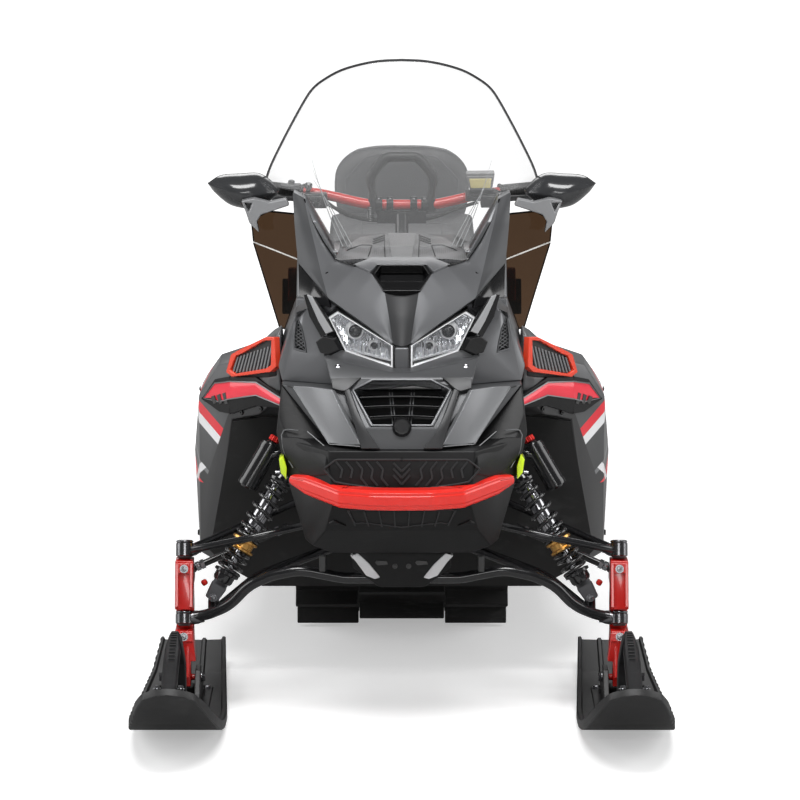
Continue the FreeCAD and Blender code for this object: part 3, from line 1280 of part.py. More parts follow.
def track_system():
    """Track with its lugs, rails, wheels, drive axle and suspension arms."""
    inside = value("belt_inside")
    drive_y = value("spindle + drive_back")
    drive_z = value("drive_height")
    bow = value("rail_bow")
    contact = value("contact")
    idler_y = value("idler_line")
    idler_r = value("idler_radius")
    gap = value("soft_gap")
    carrier_y = contact + value("carrier_back")
    carrier_z = value("carrier_height")
    circles = [
        (drive_y, drive_z, value("drive_radius") + gap),
        (contact, inside + bow, bow),
        (idler_y, inside + idler_r + gap, idler_r + gap),
        (carrier_y, carrier_z, value("carrier_radius") + gap),
    ]
    belt = value("belt_thick")
    width = value("track_width")
    inner = loop_through(circles)
    outer = loop_through([(y, z, r + belt) for y, z, r in circles])
    across = Vector(width, 0, 0)
    band = Part.Face(outer).extrude(across).cut(Part.Face(inner).extrude(across))
    band.translate(Vector(-width / 2, 0, 0))
    lugs = []
    count = round(outer.Length / value("lug_pitch") / 2) * 2
    spots = outer.discretize(count * 4 + 1)
    split = value("lug_split")
    tall = value("lug_height")
    thick = value("lug_thick")
    root = value("lug_gap")
    for index in range(count):
        here = spots[index * 4]
        along = (spots[index * 4 + 1] - spots[index * 4 - 1 if index else -2]).normalize()
        away = Vector(0, along.z, -along.y)
        turn = Rotation(Vector(1, 0, 0), math.degrees(math.atan2(away.z, away.y)))
        middle = [(root - split, split - root)]
        sides = [(-width / 2, -split), (split, width / 2)]
        for low, high in middle if index % 2 else sides:
            lug = Part.makeBox(high - low, tall + root, thick, Vector(low, -root, -thick / 2))
            lug.Placement = Placement(here, turn)
            lugs.append(lug)
    track = band.fuse(lugs)
    # the ground trims the lug tips level
    length = value("overall_length")
    floor = Part.makeBox(2 * width, 2 * length, width, Vector(-width, -length, -width))
    node(made("track_loop", track.cut(floor)), "track")

    rail = solid("rail", "side", [
        ("contact - rail_tip", "belt_inside + rail_tip_low"),
        ("contact - rail_sweep", "belt_inside + rail_sweep_up"), ("contact", "belt_inside"),
        ("idler_line", "belt_inside"), ("idler_line + rail_ear", "belt_inside + rail_ear"),
        ("idler_line + rail_ear", "belt_inside + idler_radius + rail_ear_up"),
        ("idler_line - rail_ear", "belt_inside + idler_radius + rail_ear_up"),
        ("idler_line - rail_ear * 3", "belt_inside + rail_height"),
        ("contact", "belt_inside + rail_height"),
        ("contact - rail_tip + rail_ear * 3 / 4", "belt_inside + rail_tip_high"),
    ], "rail_half - rail_thick / 2", "rail_half + rail_thick / 2")
    node(pair("rails", rail), "slide_rails")

    axle_r = value("axle_radius")
    thick = value("wheel_width")
    bogie = value("bogie_radius")
    beside = value("wheel_mid")
    rows = [(idler_y, inside + idler_r + gap, idler_r, (value("wheel_in"), value("wheel_outer")))]
    count = round(value("bogie_rows"))
    for index in range(count):
        y = contact + (idler_y - contact) * (index + 0.4) / (count + 0.3)
        rows.append((y, inside + bogie + gap, bogie, (beside,)))
    wheels = []
    axles = []
    for y, z, radius, places in rows:
        reach = places[-1] + thick
        axles.append(Part.makeCylinder(axle_r, 2 * reach, Vector(-reach, y, z), Vector(1, 0, 0)))
        for place in places:
            for sign in (-1, 1):
                start = Vector(sign * place - (thick / 2), y, z)
                wheels.append(Part.makeCylinder(radius, thick, start, Vector(1, 0, 0)))
    rails = [obj for obj in NODES if obj.Label == "slide_rails"][0]
    doc.recompute()
    solid_rails = rails.Shape
    rollers = [wheel.cut(axle) for wheel in wheels for axle in axles
               if wheel.distToShape(axle)[0] == 0]
    for place in (-beside, beside):
        start = Vector(place - thick / 2, carrier_y, carrier_z)
        roller = Part.makeCylinder(value("carrier_radius"), thick, start, Vector(1, 0, 0))
        hole = Part.makeCylinder(value("strut_radius"), thick, start, Vector(1, 0, 0))
        rollers.append(roller.cut(hole))
    wheel_set = Part.makeCompound(rollers)
    node(made("wheels", wheel_set), "idler_wheels")
    axle_pieces = [piece for axle in axles for piece in axle.cut(solid_rails).Solids]
    node(made("axles", Part.makeCompound(axle_pieces)), "wheel_axles")

    inner_half = value("body_half - tunnel_plate")
    shaft = Part.makeCylinder(axle_r, 2 * inner_half, Vector(-inner_half, drive_y, drive_z),
                              Vector(1, 0, 0))
    drums = []
    outer, inner = value("wheel_outer"), value("sprocket_in")
    for place in (-outer, -inner, inner, outer):
        start = Vector(place - thick / 2, drive_y, drive_z)
        drums.append(Part.makeCylinder(value("drive_radius"), thick, start, Vector(1, 0, 0)))
    node(made("drive", shaft.fuse(drums).removeSplitter()), "drive_axle")

    tube_r = value("strut_radius")
    leg_r = tube_r - value("arm_tube_step")
    foot_z = inside + value("rail_height") + tube_r + 1
    beside = value("arm_half")
    arms = []
    # columns: tunnel end y and z, rail end y and z
    for top_y, top_z, low_y, low_z in (
        (contact - value("front_arm_top"), drive_z + value("front_arm_rise"),
         contact + value("front_arm_foot"), foot_z),
        (carrier_y, carrier_z, contact + value("rear_arm_foot"), foot_z),
    ):
        cross = Part.makeCylinder(tube_r, 2 * inner_half, Vector(-inner_half, top_y, top_z),
                                  Vector(1, 0, 0))
        foot = value("rail_half + rail_thick / 2")
        foot_bar = Part.makeCylinder(tube_r, 2 * foot, Vector(-foot, low_y, low_z), Vector(1, 0, 0))
        legs = [bar(Vector(x, top_y, top_z), Vector(x, low_y, low_z), leg_r) for x in (-beside, beside)]
        arms.append(cross.fuse([foot_bar] + legs).removeSplitter().cut(solid_rails))
    node(made("arms", Part.makeCompound(arms)), "track_arms")


def rear():
    """Seat, backrest, rack, bumper, tail light, snow flap and hitch."""
    base = "tunnel_top_height + soft_gap"
    front_edge = "seat_line + soft_gap"
    seat_side = solid("seat_side_view", "side", [
        (front_edge, base), (front_edge, "seat_rider + seat_horn"),
        ("seat_line + seat_dip", "seat_rider"), ("seat_line + seat_step_start", "seat_rider"),
        ("seat_line + seat_step_end", "seat_passenger"), ("seat_end", "seat_passenger"),
        ("seat_end - seat_undercut", base),
    ], "-seat_widest_out", "seat_widest_out")
    seat_front = solid("seat_front_view", "front", both_sides([
        ("seat_foot_out", base), ("seat_side_out", "seat_rider - seat_roll"),
        ("seat_edge_out", "seat_rider"), ("seat_step_out", "seat_passenger"),
    ]), "seat_line", "seat_end")
    node(common("seat_shape", seat_side, seat_front), "seat")

    node(solid("backrest_pad", "front", both_sides([
        ("rest_low_out", "seat_passenger + seam"), ("rest_shoulder_out", "backrest_top - rest_round"),
        ("rest_crown_out", "backrest_top"),
    ]), "backrest_line", "backrest_line + backrest_thick"), "backrest")
    post_y = "backrest_line + backrest_thick + soft_gap + rail_tube"
    stay_top = "backrest_top - stay_drop"
    stay = tube([
        at("-stay_half", post_y, "tunnel_top_height"), at("-stay_half", post_y, stay_top),
        at("stay_half", post_y, stay_top), at("stay_half", post_y, "tunnel_top_height"),
    ], value("rail_tube"), value("rack_bend"))
    node(made("backrest_stay", stay), "backrest_frame")

    tube_r = value("rail_tube")
    high = "rack_height"
    inset = "rack_inset"
    pieces = []
    for sign in ("-", ""):
        x = f"{sign}rack_half"
        pieces.append(tube([
            at(x, f"rack_front + {inset}", "tunnel_top_height"), at(x, f"rack_front + {inset}", high),
            at(x, f"tunnel_end - {inset}", high), at(x, f"tunnel_end - {inset}", "tunnel_top_height"),
        ], tube_r, value("rack_bend")))
    slats = round(value("rack_slats"))
    for index in range(slats):
        share = (index + 0.5) / slats
        y = f"rack_front + {inset} + (tunnel_end - 2 * {inset} - rack_front) * {share}"
        pieces.append(bar(at("-rack_half", y, high), at("rack_half", y, high), value("slat_tube")))
    node(made("rack", pieces[0].fuse(pieces[1:]).removeSplitter()), "rear_rack")

    node(block("tail_lamp", ("-lamp_half", "lamp_half"), ("tunnel_end - lamp_deep", "tunnel_end"),
               ("tunnel_top_height", "tunnel_top_height + lamp_tall")), "tail_light")

    line = "bumper_line"
    low = "tunnel_top_height - hoop_drop"
    half = "body_half + bumper_tube"
    start = "tunnel_end - board_tail"
    corner = f"{line} - hoop_corner"
    hoop = tube([
        at(f"-({half})", start, low), at(f"-({half})", corner, low), at("-hoop_half", line, low),
        at("hoop_half", line, low), at(half, corner, low), at(half, start, low),
    ], value("bumper_tube"), value("hoop_bend"))
    node(made("rear_hoop", hoop), "rear_bumper")

    plate_top = f"{low} - bumper_tube"
    root = f"{line} - hitch_half"
    step = f"{line} + bumper_tube"
    plate = solid("hitch_shape", "plan", [
        ("-hitch_half", root), ("hitch_half", root), ("hitch_half", step), ("hitch_edge", "tail"),
        ("-hitch_edge", "tail"), ("-hitch_half", step),
    ], f"{plate_top} - hitch_plate", plate_top)
    hole = doc.addObject("Part::Cylinder", "hitch_bore")
    hole.setExpression("Radius", formula("hitch_hole"))
    hole.setExpression("Height", formula("hitch_plate * 3"))
    hole.setExpression("Placement.Base.y", formula("tail - hitch_edge"))
    hole.setExpression("Placement.Base.z", formula(f"{plate_top} - hitch_plate * 2"))
    node(cut("hitch_cut", plate, hole), "hitch")

    under = "tunnel_top_height - tunnel_plate"
    flap = solid("flap", "side", [
        ("tunnel_end", under), ("tunnel_end + flap_thick", under),
        ("tunnel_end + flap_lean + flap_thick", "flap_bottom"),
        ("tunnel_end + flap_lean", "flap_bottom"),
    ], "-body_half + flap_inset", "body_half - flap_inset")
    node(flap, "snow_flap")


skis()
spindles()
front_frame = chassis()
hood_panel, outer_panels, dash, chin_panel = bodywork(front_frame)
front_suspension(front_frame, chin_panel)
screen(hood_panel, outer_panels, dash)
handlebar()
track_system()
rear()
doc.recompute()

# ---------------------------------------------------------------- checks and files
for obj in doc.Objects:
    if "Invalid" in obj.State or "Error" in obj.State:
        raise SystemExit(f"{obj.Name} failed: {obj.State}")
for obj in NODES:
    if obj.Shape.isNull() or not obj.Shape.isValid() or not obj.Shape.Solids:
        raise SystemExit(f"{obj.Label} has no valid solid")

os.makedirs("parts", exist_ok=True)
for obj in NODES:
    obj.Shape.exportStep(f"parts/{obj.Label}.step")
    box = obj.Shape.BoundBox
    print(f"{obj.Label:20s} {len(obj.Shape.Solids)} solids, {obj.Shape.Volume / 1e6:8.2f} dm3, "
          f"y {box.YMin:7.0f} {box.YMax:7.0f}  z {box.ZMin:6.1f} {box.ZMax:6.1f}")
print(len(NODES), "nodes")
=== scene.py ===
import json
import math

import bmesh
import bpy
import numpy as np
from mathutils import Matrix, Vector

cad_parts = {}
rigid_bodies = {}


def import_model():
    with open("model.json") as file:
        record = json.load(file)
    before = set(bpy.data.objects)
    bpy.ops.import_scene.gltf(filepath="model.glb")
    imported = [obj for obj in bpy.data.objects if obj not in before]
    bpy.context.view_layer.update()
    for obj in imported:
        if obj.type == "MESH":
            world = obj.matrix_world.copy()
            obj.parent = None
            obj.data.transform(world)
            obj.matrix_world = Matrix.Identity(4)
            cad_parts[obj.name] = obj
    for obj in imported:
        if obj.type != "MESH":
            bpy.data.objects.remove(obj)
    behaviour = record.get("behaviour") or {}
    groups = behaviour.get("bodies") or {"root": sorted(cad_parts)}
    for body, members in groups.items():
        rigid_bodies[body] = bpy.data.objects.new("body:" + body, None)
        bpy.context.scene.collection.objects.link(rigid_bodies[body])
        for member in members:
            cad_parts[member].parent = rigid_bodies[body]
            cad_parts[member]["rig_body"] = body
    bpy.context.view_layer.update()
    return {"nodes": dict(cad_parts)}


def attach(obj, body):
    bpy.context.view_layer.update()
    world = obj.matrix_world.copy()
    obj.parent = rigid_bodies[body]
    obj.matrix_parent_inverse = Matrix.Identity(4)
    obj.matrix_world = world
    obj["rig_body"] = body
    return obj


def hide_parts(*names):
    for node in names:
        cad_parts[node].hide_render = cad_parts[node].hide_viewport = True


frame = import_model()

# ---------------------------------------------------------------- skis
# Each ski is one black moulding with a turned-up nose, a ribbed top and a toothed outer
# edge. Two walls carry the pivot bolt, and a steel wear rod is let into the keel.
MM = 0.001
SIDES = (("left", 1), ("right", -1))
SKI_CENTRE = 487
SKI_TIP, SKI_BEND, SKI_TAIL = -1625, -1165, -635
SKI_RADIUS, SKI_SOLE = 689.1, 14
SKI_BOLT = (-1085, 88)


def grid(points, ring=False, capped=True):
    """Quads between neighbouring points of a table (rows, columns, 3).

    With ring the last column joins the first, and one face closes each end row.
    """
    points = np.asarray(points, float)
    rows, columns = points.shape[:2]
    number = np.arange(rows * columns).reshape(rows, columns)
    near, far = (number, np.roll(number, -1, 1)) if ring else (number[:, :-1], number[:, 1:])
    quads = np.stack([near[:-1], far[:-1], far[1:], near[1:]], -1).reshape(-1, 4)
    ends = [number[0][::-1], number[-1]] if ring and capped else []
    return points.reshape(-1, 3), quads, ends


def prism(low, high):
    """A solid between two outlines of equal count."""
    return grid(np.stack([low, high]), ring=True)


def layer(outline, level, axis=2):
    """An outline of two coordinates given one level on the third axis."""
    return np.insert(np.asarray(outline, float), axis, level, axis=1)


def slab(outline, levels, axis=2):
    """A plate cut to an outline, between two levels on an axis (0, 1 or 2)."""
    return prism(*(layer(outline, level, axis) for level in levels))


def box(x, y, z):
    """A block between pairs of low and high values."""
    return slab([(x[0], y[0]), (x[1], y[0]), (x[1], y[1]), (x[0], y[1])], z)


def unit(vector):
    """A vector, or each row of a table, brought to length one."""
    vector = np.asarray(vector, float)
    return vector / np.linalg.norm(vector, axis=-1, keepdims=True)


def turned(base, axis, profile, sides=32, capped=True):
    """A turned part: base + height * axis + radius * spoke, for each (height, radius) pair."""
    axis = unit(axis)
    first = unit(np.cross(axis, (0, 0, 1) if abs(axis[2]) < 0.9 else (0, 1, 0)))
    second = np.cross(axis, first)
    height, radius = np.asarray(profile, float).T
    angle = (np.arange(sides) + 0.5) * 2 * np.pi / sides
    spoke = np.cos(angle)[:, None] * first + np.sin(angle)[:, None] * second
    table = np.asarray(base, float) + height[:, None, None] * axis + radius[:, None, None] * spoke
    return grid(table, ring=True, capped=capped)


def carry(path, profile, up=(0, 0, 1), grow=None):
    """A profile carried along a path: path + across * side + rise * lift, side = run x up."""
    path, profile = np.asarray(path, float), np.asarray(profile, float)
    run = unit(np.gradient(path, axis=0))
    side = unit(np.cross(run, np.asarray(up, float)))
    lift = np.cross(side, run)
    grow = np.ones((len(path), 2)) if grow is None else np.asarray(grow, float)
    across = (profile[None, :, 0] * grow[:, :1])[..., None] * side[:, None]
    rise = (profile[None, :, 1] * grow[:, 1:])[..., None] * lift[:, None]
    return grid(path[:, None] + across + rise, ring=True)


def circle(radius, sides=16):
    """Points round a circle."""
    angle = np.arange(sides) * 2 * np.pi / sides
    return radius * np.column_stack([np.cos(angle), np.sin(angle)])


def wire(line, radius, sides=8, up=(0, -1, 0), **growth):
    """A round wire along a line."""
    return carry(line, circle(radius, sides), up=up, **growth)


def flow(points, steps=10):
    """A smooth line: a quadratic B-spline on its control points, pinned at both ends."""
    points = np.asarray(points, float)
    middles = (points[1:-2] + points[2:-1]) / 2
    starts = np.concatenate([points[:1], middles])[:, None]
    ends = np.concatenate([middles, points[-1:]])[:, None]
    share = np.linspace(0, 1, steps, endpoint=False)[None, :, None]
    knees = points[1:-1, None]
    line = starts * (1 - share) ** 2 + 2 * knees * share * (1 - share) + ends * share ** 2
    return np.concatenate([line.reshape(-1, 3), points[-1:]])


def sided(shells, sign):
    """Left-hand shells as they are (sign 1), or mirrored to the right side (sign -1)."""
    return [(points * (sign, 1, 1), quads, ends) for points, quads, ends in shells]


def both(*shells):
    """The shells and their mirror images on the other side of the machine."""
    return list(shells) + sided(shells, -1)


def shell_mesh(name, shells):
    """One mesh, in metres, from shells in millimetres: doubles merged, faces turned outwards."""
    counts = np.cumsum([0] + [len(points) for points, _, _ in shells])
    faces = np.concatenate([quads + start for (_, quads, _), start in zip(shells, counts)]).tolist()
    for (_, _, ends), start in zip(shells, counts):
        faces += [(end + start).tolist() for end in ends]
    mesh = bpy.data.meshes.new(name)
    mesh.from_pydata((np.concatenate([points for points, _, _ in shells]) * MM).tolist(), [], faces)
    skin = bmesh.new()
    skin.from_mesh(mesh)
    bmesh.ops.remove_doubles(skin, verts=skin.verts, dist=1e-6)
    bmesh.ops.recalc_face_normals(skin, faces=skin.faces)
    skin.to_mesh(mesh)
    skin.free()
    return mesh


def piece(name, mesh, finish, body, slot=None, round_off=0.0, crease=35, replaces=()):
    """An object that rides on a body, with its edges rounded by round_off millimetres."""
    obj = bpy.data.objects.new(name, mesh)
    bpy.context.scene.collection.objects.link(obj)
    mesh.materials.clear()
    mesh.materials.append(finish)
    mesh.shade_smooth()
    if round_off:
        edge = obj.modifiers.new("rounded edges", "BEVEL")
        edge.width = round_off * MM
        edge.segments = 2
        edge.angle_limit = math.radians(9)
        edge.harden_normals = True
        edge.use_clamp_overlap = False
    else:
        mesh.set_sharp_from_angle(angle=math.radians(crease))
    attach(obj, body)
    if replaces:
        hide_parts(*replaces)
    return obj


def make(name, shells, finish, body="chassis", **details):
    """A new piece from shells."""
    return piece(name, shell_mesh(name, shells), finish, body, **details)


def node(tree, kind, links=(), **settings):
    """A shader node with settings and input links: (input, source socket or value) pairs."""
    made = tree.nodes.new(kind)
    for key, value in settings.items():
        setattr(made, key, value)
    for name, source in links:
        if isinstance(source, bpy.types.NodeSocket):
            tree.links.new(source, made.inputs[name])
        else:
            made.inputs[name].default_value = source
    return made


def maths(tree, operation, first, second=0.0, third=0.0):
    """The result of one sum on numbers or sockets."""
    links = [(0, first), (1, second), (2, third)]
    return node(tree, "ShaderNodeMath", links, operation=operation).outputs[0]


def noise(tree, scale, detail, place=None):
    """Cloudy noise on Object coordinates, or on the place given."""
    place = place or tree.nodes.new("ShaderNodeTexCoord").outputs["Object"]
    links = [("Vector", place), ("Scale", scale), ("Detail", detail)]
    return node(tree, "ShaderNodeTexNoise", links).outputs[0]


def ranged(tree, value, start, end, low=0.0, high=1.0):
    """A value's share of the way from start to end, laid out from low to high."""
    links = zip(("Value", "From Min", "From Max", "To Min", "To Max"), (value, start, end, low, high))
    return node(tree, "ShaderNodeMapRange", links).outputs[0]


def mixed(tree, share, first, second):
    """The first colour turning into the second one by a share; each is a socket or a triple."""
    first, second = (part if isinstance(part, bpy.types.NodeSocket) else (*part, 1)
                     for part in (first, second))
    links = [("Factor", share), ("A", first), ("B", second)]
    return node(tree, "ShaderNodeMix", links, data_type="RGBA").outputs["Result"]


def surface_group():
    """Cloudy colour, fine grain for the bump and thin scuffs, shared by mouldings and paints.

    Colour = colour * (1 + mottle * cloud), mixed towards the scuffed colour in thin streaks.
    """
    tree = bpy.data.node_groups.new("surface detail", "ShaderNodeTree")
    colour, number = "NodeSocketColor", "NodeSocketFloat"
    for name, kind, value in (("Colour", colour, (0.5, 0.5, 0.5, 1)), ("Scuffed", colour, (0.5, 0.5, 0.5, 1)),
                              ("Roughness", number, 0.5), ("Grain", number, 900.0),
                              ("Mottle", number, 0.1), ("Scuffs", number, 0.1)):
        tree.interface.new_socket(name, in_out="INPUT", socket_type=kind).default_value = value
    for name, kind in (("Colour", colour), ("Roughness", number), ("Height", number)):
        tree.interface.new_socket(name, in_out="OUTPUT", socket_type=kind)
    given = tree.nodes.new("NodeGroupInput").outputs
    place = tree.nodes.new("ShaderNodeTexCoord").outputs["Object"]
    cloud = noise(tree, 9.0, 5.0, place)
    grain = noise(tree, given["Grain"], 2.0, place)
    turn = node(tree, "ShaderNodeMapping", [("Vector", place), ("Rotation", (0.4, 0.9, 0.3)),
                                            ("Scale", (30, 420, 60))])
    streak = noise(tree, 1.0, 3.0, turn.outputs[0])
    worn = ranged(tree, maths(tree, "MULTIPLY", cloud, streak), 0.3, 0.46)
    worn = maths(tree, "MULTIPLY", worn, given["Scuffs"])
    cloudy = maths(tree, "SUBTRACT", cloud, 0.5)
    lift = maths(tree, "MULTIPLY_ADD", cloudy, given["Mottle"], 1.0)
    lift = maths(tree, "MULTIPLY_ADD", maths(tree, "SUBTRACT", grain, 0.5),
                 maths(tree, "MULTIPLY", given["Mottle"], 0.8), lift)
    shade = node(tree, "ShaderNodeVectorMath", [(0, given["Colour"]), ("Scale", lift)], operation="SCALE")
    rough = maths(tree, "MULTIPLY_ADD", worn, 0.25, given["Roughness"])
    rough = maths(tree, "MULTIPLY_ADD", cloudy, given["Mottle"], rough)
    node(tree, "NodeGroupOutput", [("Colour", mixed(tree, worn, shade.outputs[0], given["Scuffed"])),
                                   ("Roughness", rough), ("Height", grain)])
    return tree


SURFACE = surface_group()


def blank(name, **shader):
    """A new material, its node tree and its Principled shader, with plain sockets set."""
    material = bpy.data.materials.new(name)
    material.use_nodes = True
    shell = material.node_tree.nodes["Principled BSDF"]
    for key, value in shader.items():
        shell.inputs[key.replace("_", " ").title().replace("Ior", "IOR")].default_value = value
    return material, material.node_tree, shell


def detailed(tree, shell, colour, scuffed, rough, grain, mottle, scuffs):
    """The shared surface group's outputs, with its roughness joined to the shader."""
    links = [("Colour", colour), ("Scuffed", (*scuffed, 1)), ("Roughness", rough), ("Grain", grain),
             ("Mottle", mottle), ("Scuffs", scuffs)]
    detail = node(tree, "ShaderNodeGroup", links, node_tree=SURFACE).outputs
    tree.links.new(detail["Roughness"], shell.inputs["Roughness"])
    return detail


def bumped(tree, shell, height, relief, strength=1.0):
    """A height joined to the shader as a bump of some millimetres."""
    bump = node(tree, "ShaderNodeBump", [("Height", height), ("Strength", strength),
                                         ("Distance", relief * MM)])
    tree.links.new(bump.outputs[0], shell.inputs["Normal"])


def finish(name, colour, rough, grain=1200, relief=0.05, mottle=0.15, scuffs=0.15, **shader):
    """A material on the shared surface group: colour is linear, relief is the bump in millimetres."""
    material, tree, shell = blank(name, **shader)
    scuffed = [min(1, 0.6 * part + 0.08) for part in colour]
    detail = detailed(tree, shell, (*colour, 1), scuffed, rough, grain, mottle, scuffs)
    tree.links.new(detail["Colour"], shell.inputs["Base Color"])
    bumped(tree, shell, detail["Height"], relief)
    return material


ski_plastic = finish("ski plastic", (0.009, 0.009, 0.0094), 0.48, grain=900, relief=0.12, scuffs=0.35)
bright_steel = finish("bright steel", (0.40, 0.40, 0.42), 0.22, grain=500, relief=0.01, mottle=0.1,
                      metallic=1.0)
wear_steel = finish("wear bar steel", (0.35, 0.35, 0.36), 0.38, grain=400, relief=0.03, scuffs=0.5,
                    metallic=1.0)
rubber = finish("soft rubber", (0.018, 0.018, 0.018), 0.7, grain=1800, relief=0.08)


def ski_sole(length):
    """Underside of the plate at each share of the length: a level run, a lifted tail, a nose arc.

    Returns y, z and the slope angle of the plate there.
    """
    bend = math.asin((SKI_BEND - SKI_TIP) / SKI_RADIUS)
    arc = bend * SKI_RADIUS
    run = length * (arc + SKI_TAIL - SKI_BEND) - arc
    angle = np.clip(-run / SKI_RADIUS, 0, bend)
    y = SKI_BEND + np.clip(run, 0, None) - SKI_RADIUS * np.sin(angle)
    lifted = 31 * np.clip((y + 815) / 180, 0, 1)
    return y, SKI_SOLE + SKI_RADIUS * (1 - np.cos(angle)) + lifted, angle


def ski_half_width(y):
    """Half the ski's width: tapered to the tail and, faster, over the nose, with a round tip."""
    rise = np.clip((SKI_BEND - y) / 460, 0, 1) ** 2
    taper = np.interp(y, [SKI_BEND, SKI_TAIL], [103, 76]) * np.sqrt(1 - 0.84 * rise ** 1.6)
    return taper * np.sqrt(np.clip(1 - (np.clip(-1598 - y, 0, None) / 27) ** 2, 0, 1))


def ski_plate():
    """The left plate: a cross-section with rims and two ribs, square to the sole along its length.

    Its outer edge is cut in a saw-tooth 3.5 mm deep every 34 mm.
    """
    y, z, angle = (column[:, None] for column in ski_sole(np.linspace(0, 1, 230)))
    across = np.array([-0.97, -1, -1, -0.97, -0.9, -0.86, -0.42, -0.38, -0.3, -0.26, 0, 0.26, 0.3,
                       0.38, 0.42, 0.86, 0.9, 0.97, 1, 1, 0.97, 0])
    rise = np.array([0, 2, 21, 23, 23, 16, 15, 20, 20, 15, 15, 15, 20,
                     20, 15, 16, 23, 23, 21, 2, 0, 0], float)
    rise = np.where(rise > 15, 15 + (rise - 15) * np.clip((y - SKI_TIP) / 60, 0, 1), rise)
    tooth = 4 * np.clip((y / 34) % 1, 0, 0.8) * np.clip((y + 1560) / 60, 0, 1)
    wide = across * (ski_half_width(y) - tooth * (across > 0.95))
    return grid(np.stack([SKI_CENTRE + wide, y + np.sin(angle) * rise, z + np.cos(angle) * rise], -1),
                ring=True)


def on_ski(reach, y, z):
    """A block across the ski's centre line."""
    return box((SKI_CENTRE - reach, SKI_CENTRE + reach), y, z)


def hexagon_bolt(spot, axis, size, tall, washer=1.35):
    """A bolt head: a round washer under a six-sided head with a turned dome."""
    ring = turned(spot, axis, [(0, 0), (0, size * washer), (1.6, size * washer), (1.6, 0)], 20)
    head = turned(spot, axis, [(1.2, 0), (1.2, size), (tall - 1, size), (tall, size * 0.86),
                               (tall, size * 0.4), (tall + 0.8, 0)], 6)
    return [ring, head]


bolt_y = SKI_BOLT[0]
saddle, saddle_bolts = [], []
for inner, outer in ((30, 42), (-42, -30)):
    saddle.append(slab([(bolt_y - 110, 26), (bolt_y - 60, 66), (bolt_y - 25, 110), (bolt_y + 25, 110),
                        (bolt_y + 62, 66), (bolt_y + 120, 26)], (SKI_CENTRE + inner, SKI_CENTRE + outer), 0))
    for spot in (-86, -62, 66, 92):
        saddle.append(box(sorted((SKI_CENTRE + outer, SKI_CENTRE + outer + math.copysign(16, outer))),
                          (bolt_y + spot - 3, bolt_y + spot + 3), (26, 46)))
saddle.append(on_ski(62, (bolt_y - 120, bolt_y + 128), (22, 33)))
for spot in (-104, 112):
    for side in (-52, 52):
        saddle_bolts += hexagon_bolt((SKI_CENTRE + side, bolt_y + spot, 33), (0, 0, 1), 6, 6)
keel = slab([(-1192, 22), (-1150, 4), (-815, 4), (-772, 26), (-815, 20), (-1150, 20)],
            (SKI_CENTRE - 17, SKI_CENTRE + 17), 0)
wear_rod = wire(flow(layer([(-1186, 17), (-1165, 10), (-1140, 4.2), (-1000, 4.2), (-840, 4.2), (-812, 9),
                            (-792, 18)], SKI_CENTRE, 0)), 4.2, 12, up=(1, 0, 0))
stops = [on_ski(24, (bolt_y - 92, bolt_y - 58), (32, 56)), on_ski(24, (bolt_y + 42, bolt_y + 84), (32, 54))]
for side_name, sign in SIDES:
    for name, shells, surface, details in (
            ("plate", [ski_plate(), keel], ski_plastic,
             dict(slot="ski_plastic", crease=28, replaces=[f"ski_{side_name}"])),
            ("saddle", saddle, ski_plastic, dict(slot="ski_plastic", round_off=2.5)),
            ("bumper", stops, rubber, dict(round_off=5)),
            ("runner", [wear_rod], wear_steel, {}),
            ("fixings", saddle_bolts, bright_steel, {})):
        make(f"ski_{name}_{side_name}", sided(shells, sign), surface, f"{side_name}_ski", **details)

# ---------------------------------------------------------------- ski handles
# A black moulded strap rises from each ski's nose to a narrow peak and comes down behind it.
# It is held by two chromed bolts at the nose and has a ribbed grip face.
handle_plastic = finish("handle plastic", (0.010, 0.010, 0.011), 0.38, grain=1400, relief=0.1)
strap_line = flow(layer([(-1586, 178), (-1500, 210), (-1440, 229), (-1372, 247), (-1332, 250), (-1290, 222),
                         (-1232, 172), (-1210, 140), (-1204, 30)], SKI_CENTRE, 0), 14)
strap_wide = np.interp(strap_line[:, 1], [-1586, -1540, -1420, -1365, -1335, -1300, -1204],
                       [0.86, 1.0, 0.98, 0.66, 0.5, 0.74, 1.0])
strap_edge = [(-17, -4), (-14, -6.5), (14, -6.5), (17, -4), (17, 3), (13, 6.5), (7, 5.2), (-7, 5.2),
              (-13, 6.5), (-17, 3)]
strap = [carry(strap_line, strap_edge, grow=np.column_stack([strap_wide, np.ones_like(strap_wide)]))]
for share in np.linspace(0.16, 0.5, 13):
    points, quads, ends = box((-6.5, 6.5), (-1.6, 1.6), (4.6, 7.4))
    strap.append((points + strap_line[int(share * len(strap_line))], quads, ends))
feet = [on_ski(30, (-1580, -1546), (176, 186)), on_ski(24, (-1226, -1186), (26, 36))]
strap_bolts = [shell for side in (-25, 25)
               for shell in hexagon_bolt((SKI_CENTRE + side, -1563, 186), (0, 0.35, 1), 6.5, 8)]
for side_name, sign in SIDES:
    body = f"{side_name}_ski"
    make(f"ski_handle_{side_name}", sided(strap, sign), handle_plastic, body, slot="handle_plastic",
         crease=40, replaces=[f"ski_loop_{side_name}"])
    make(f"ski_handle_feet_{side_name}", sided(feet, sign), handle_plastic, body, round_off=2)
    make(f"ski_handle_bolts_{side_name}", sided(strap_bolts, sign), bright_steel, body)

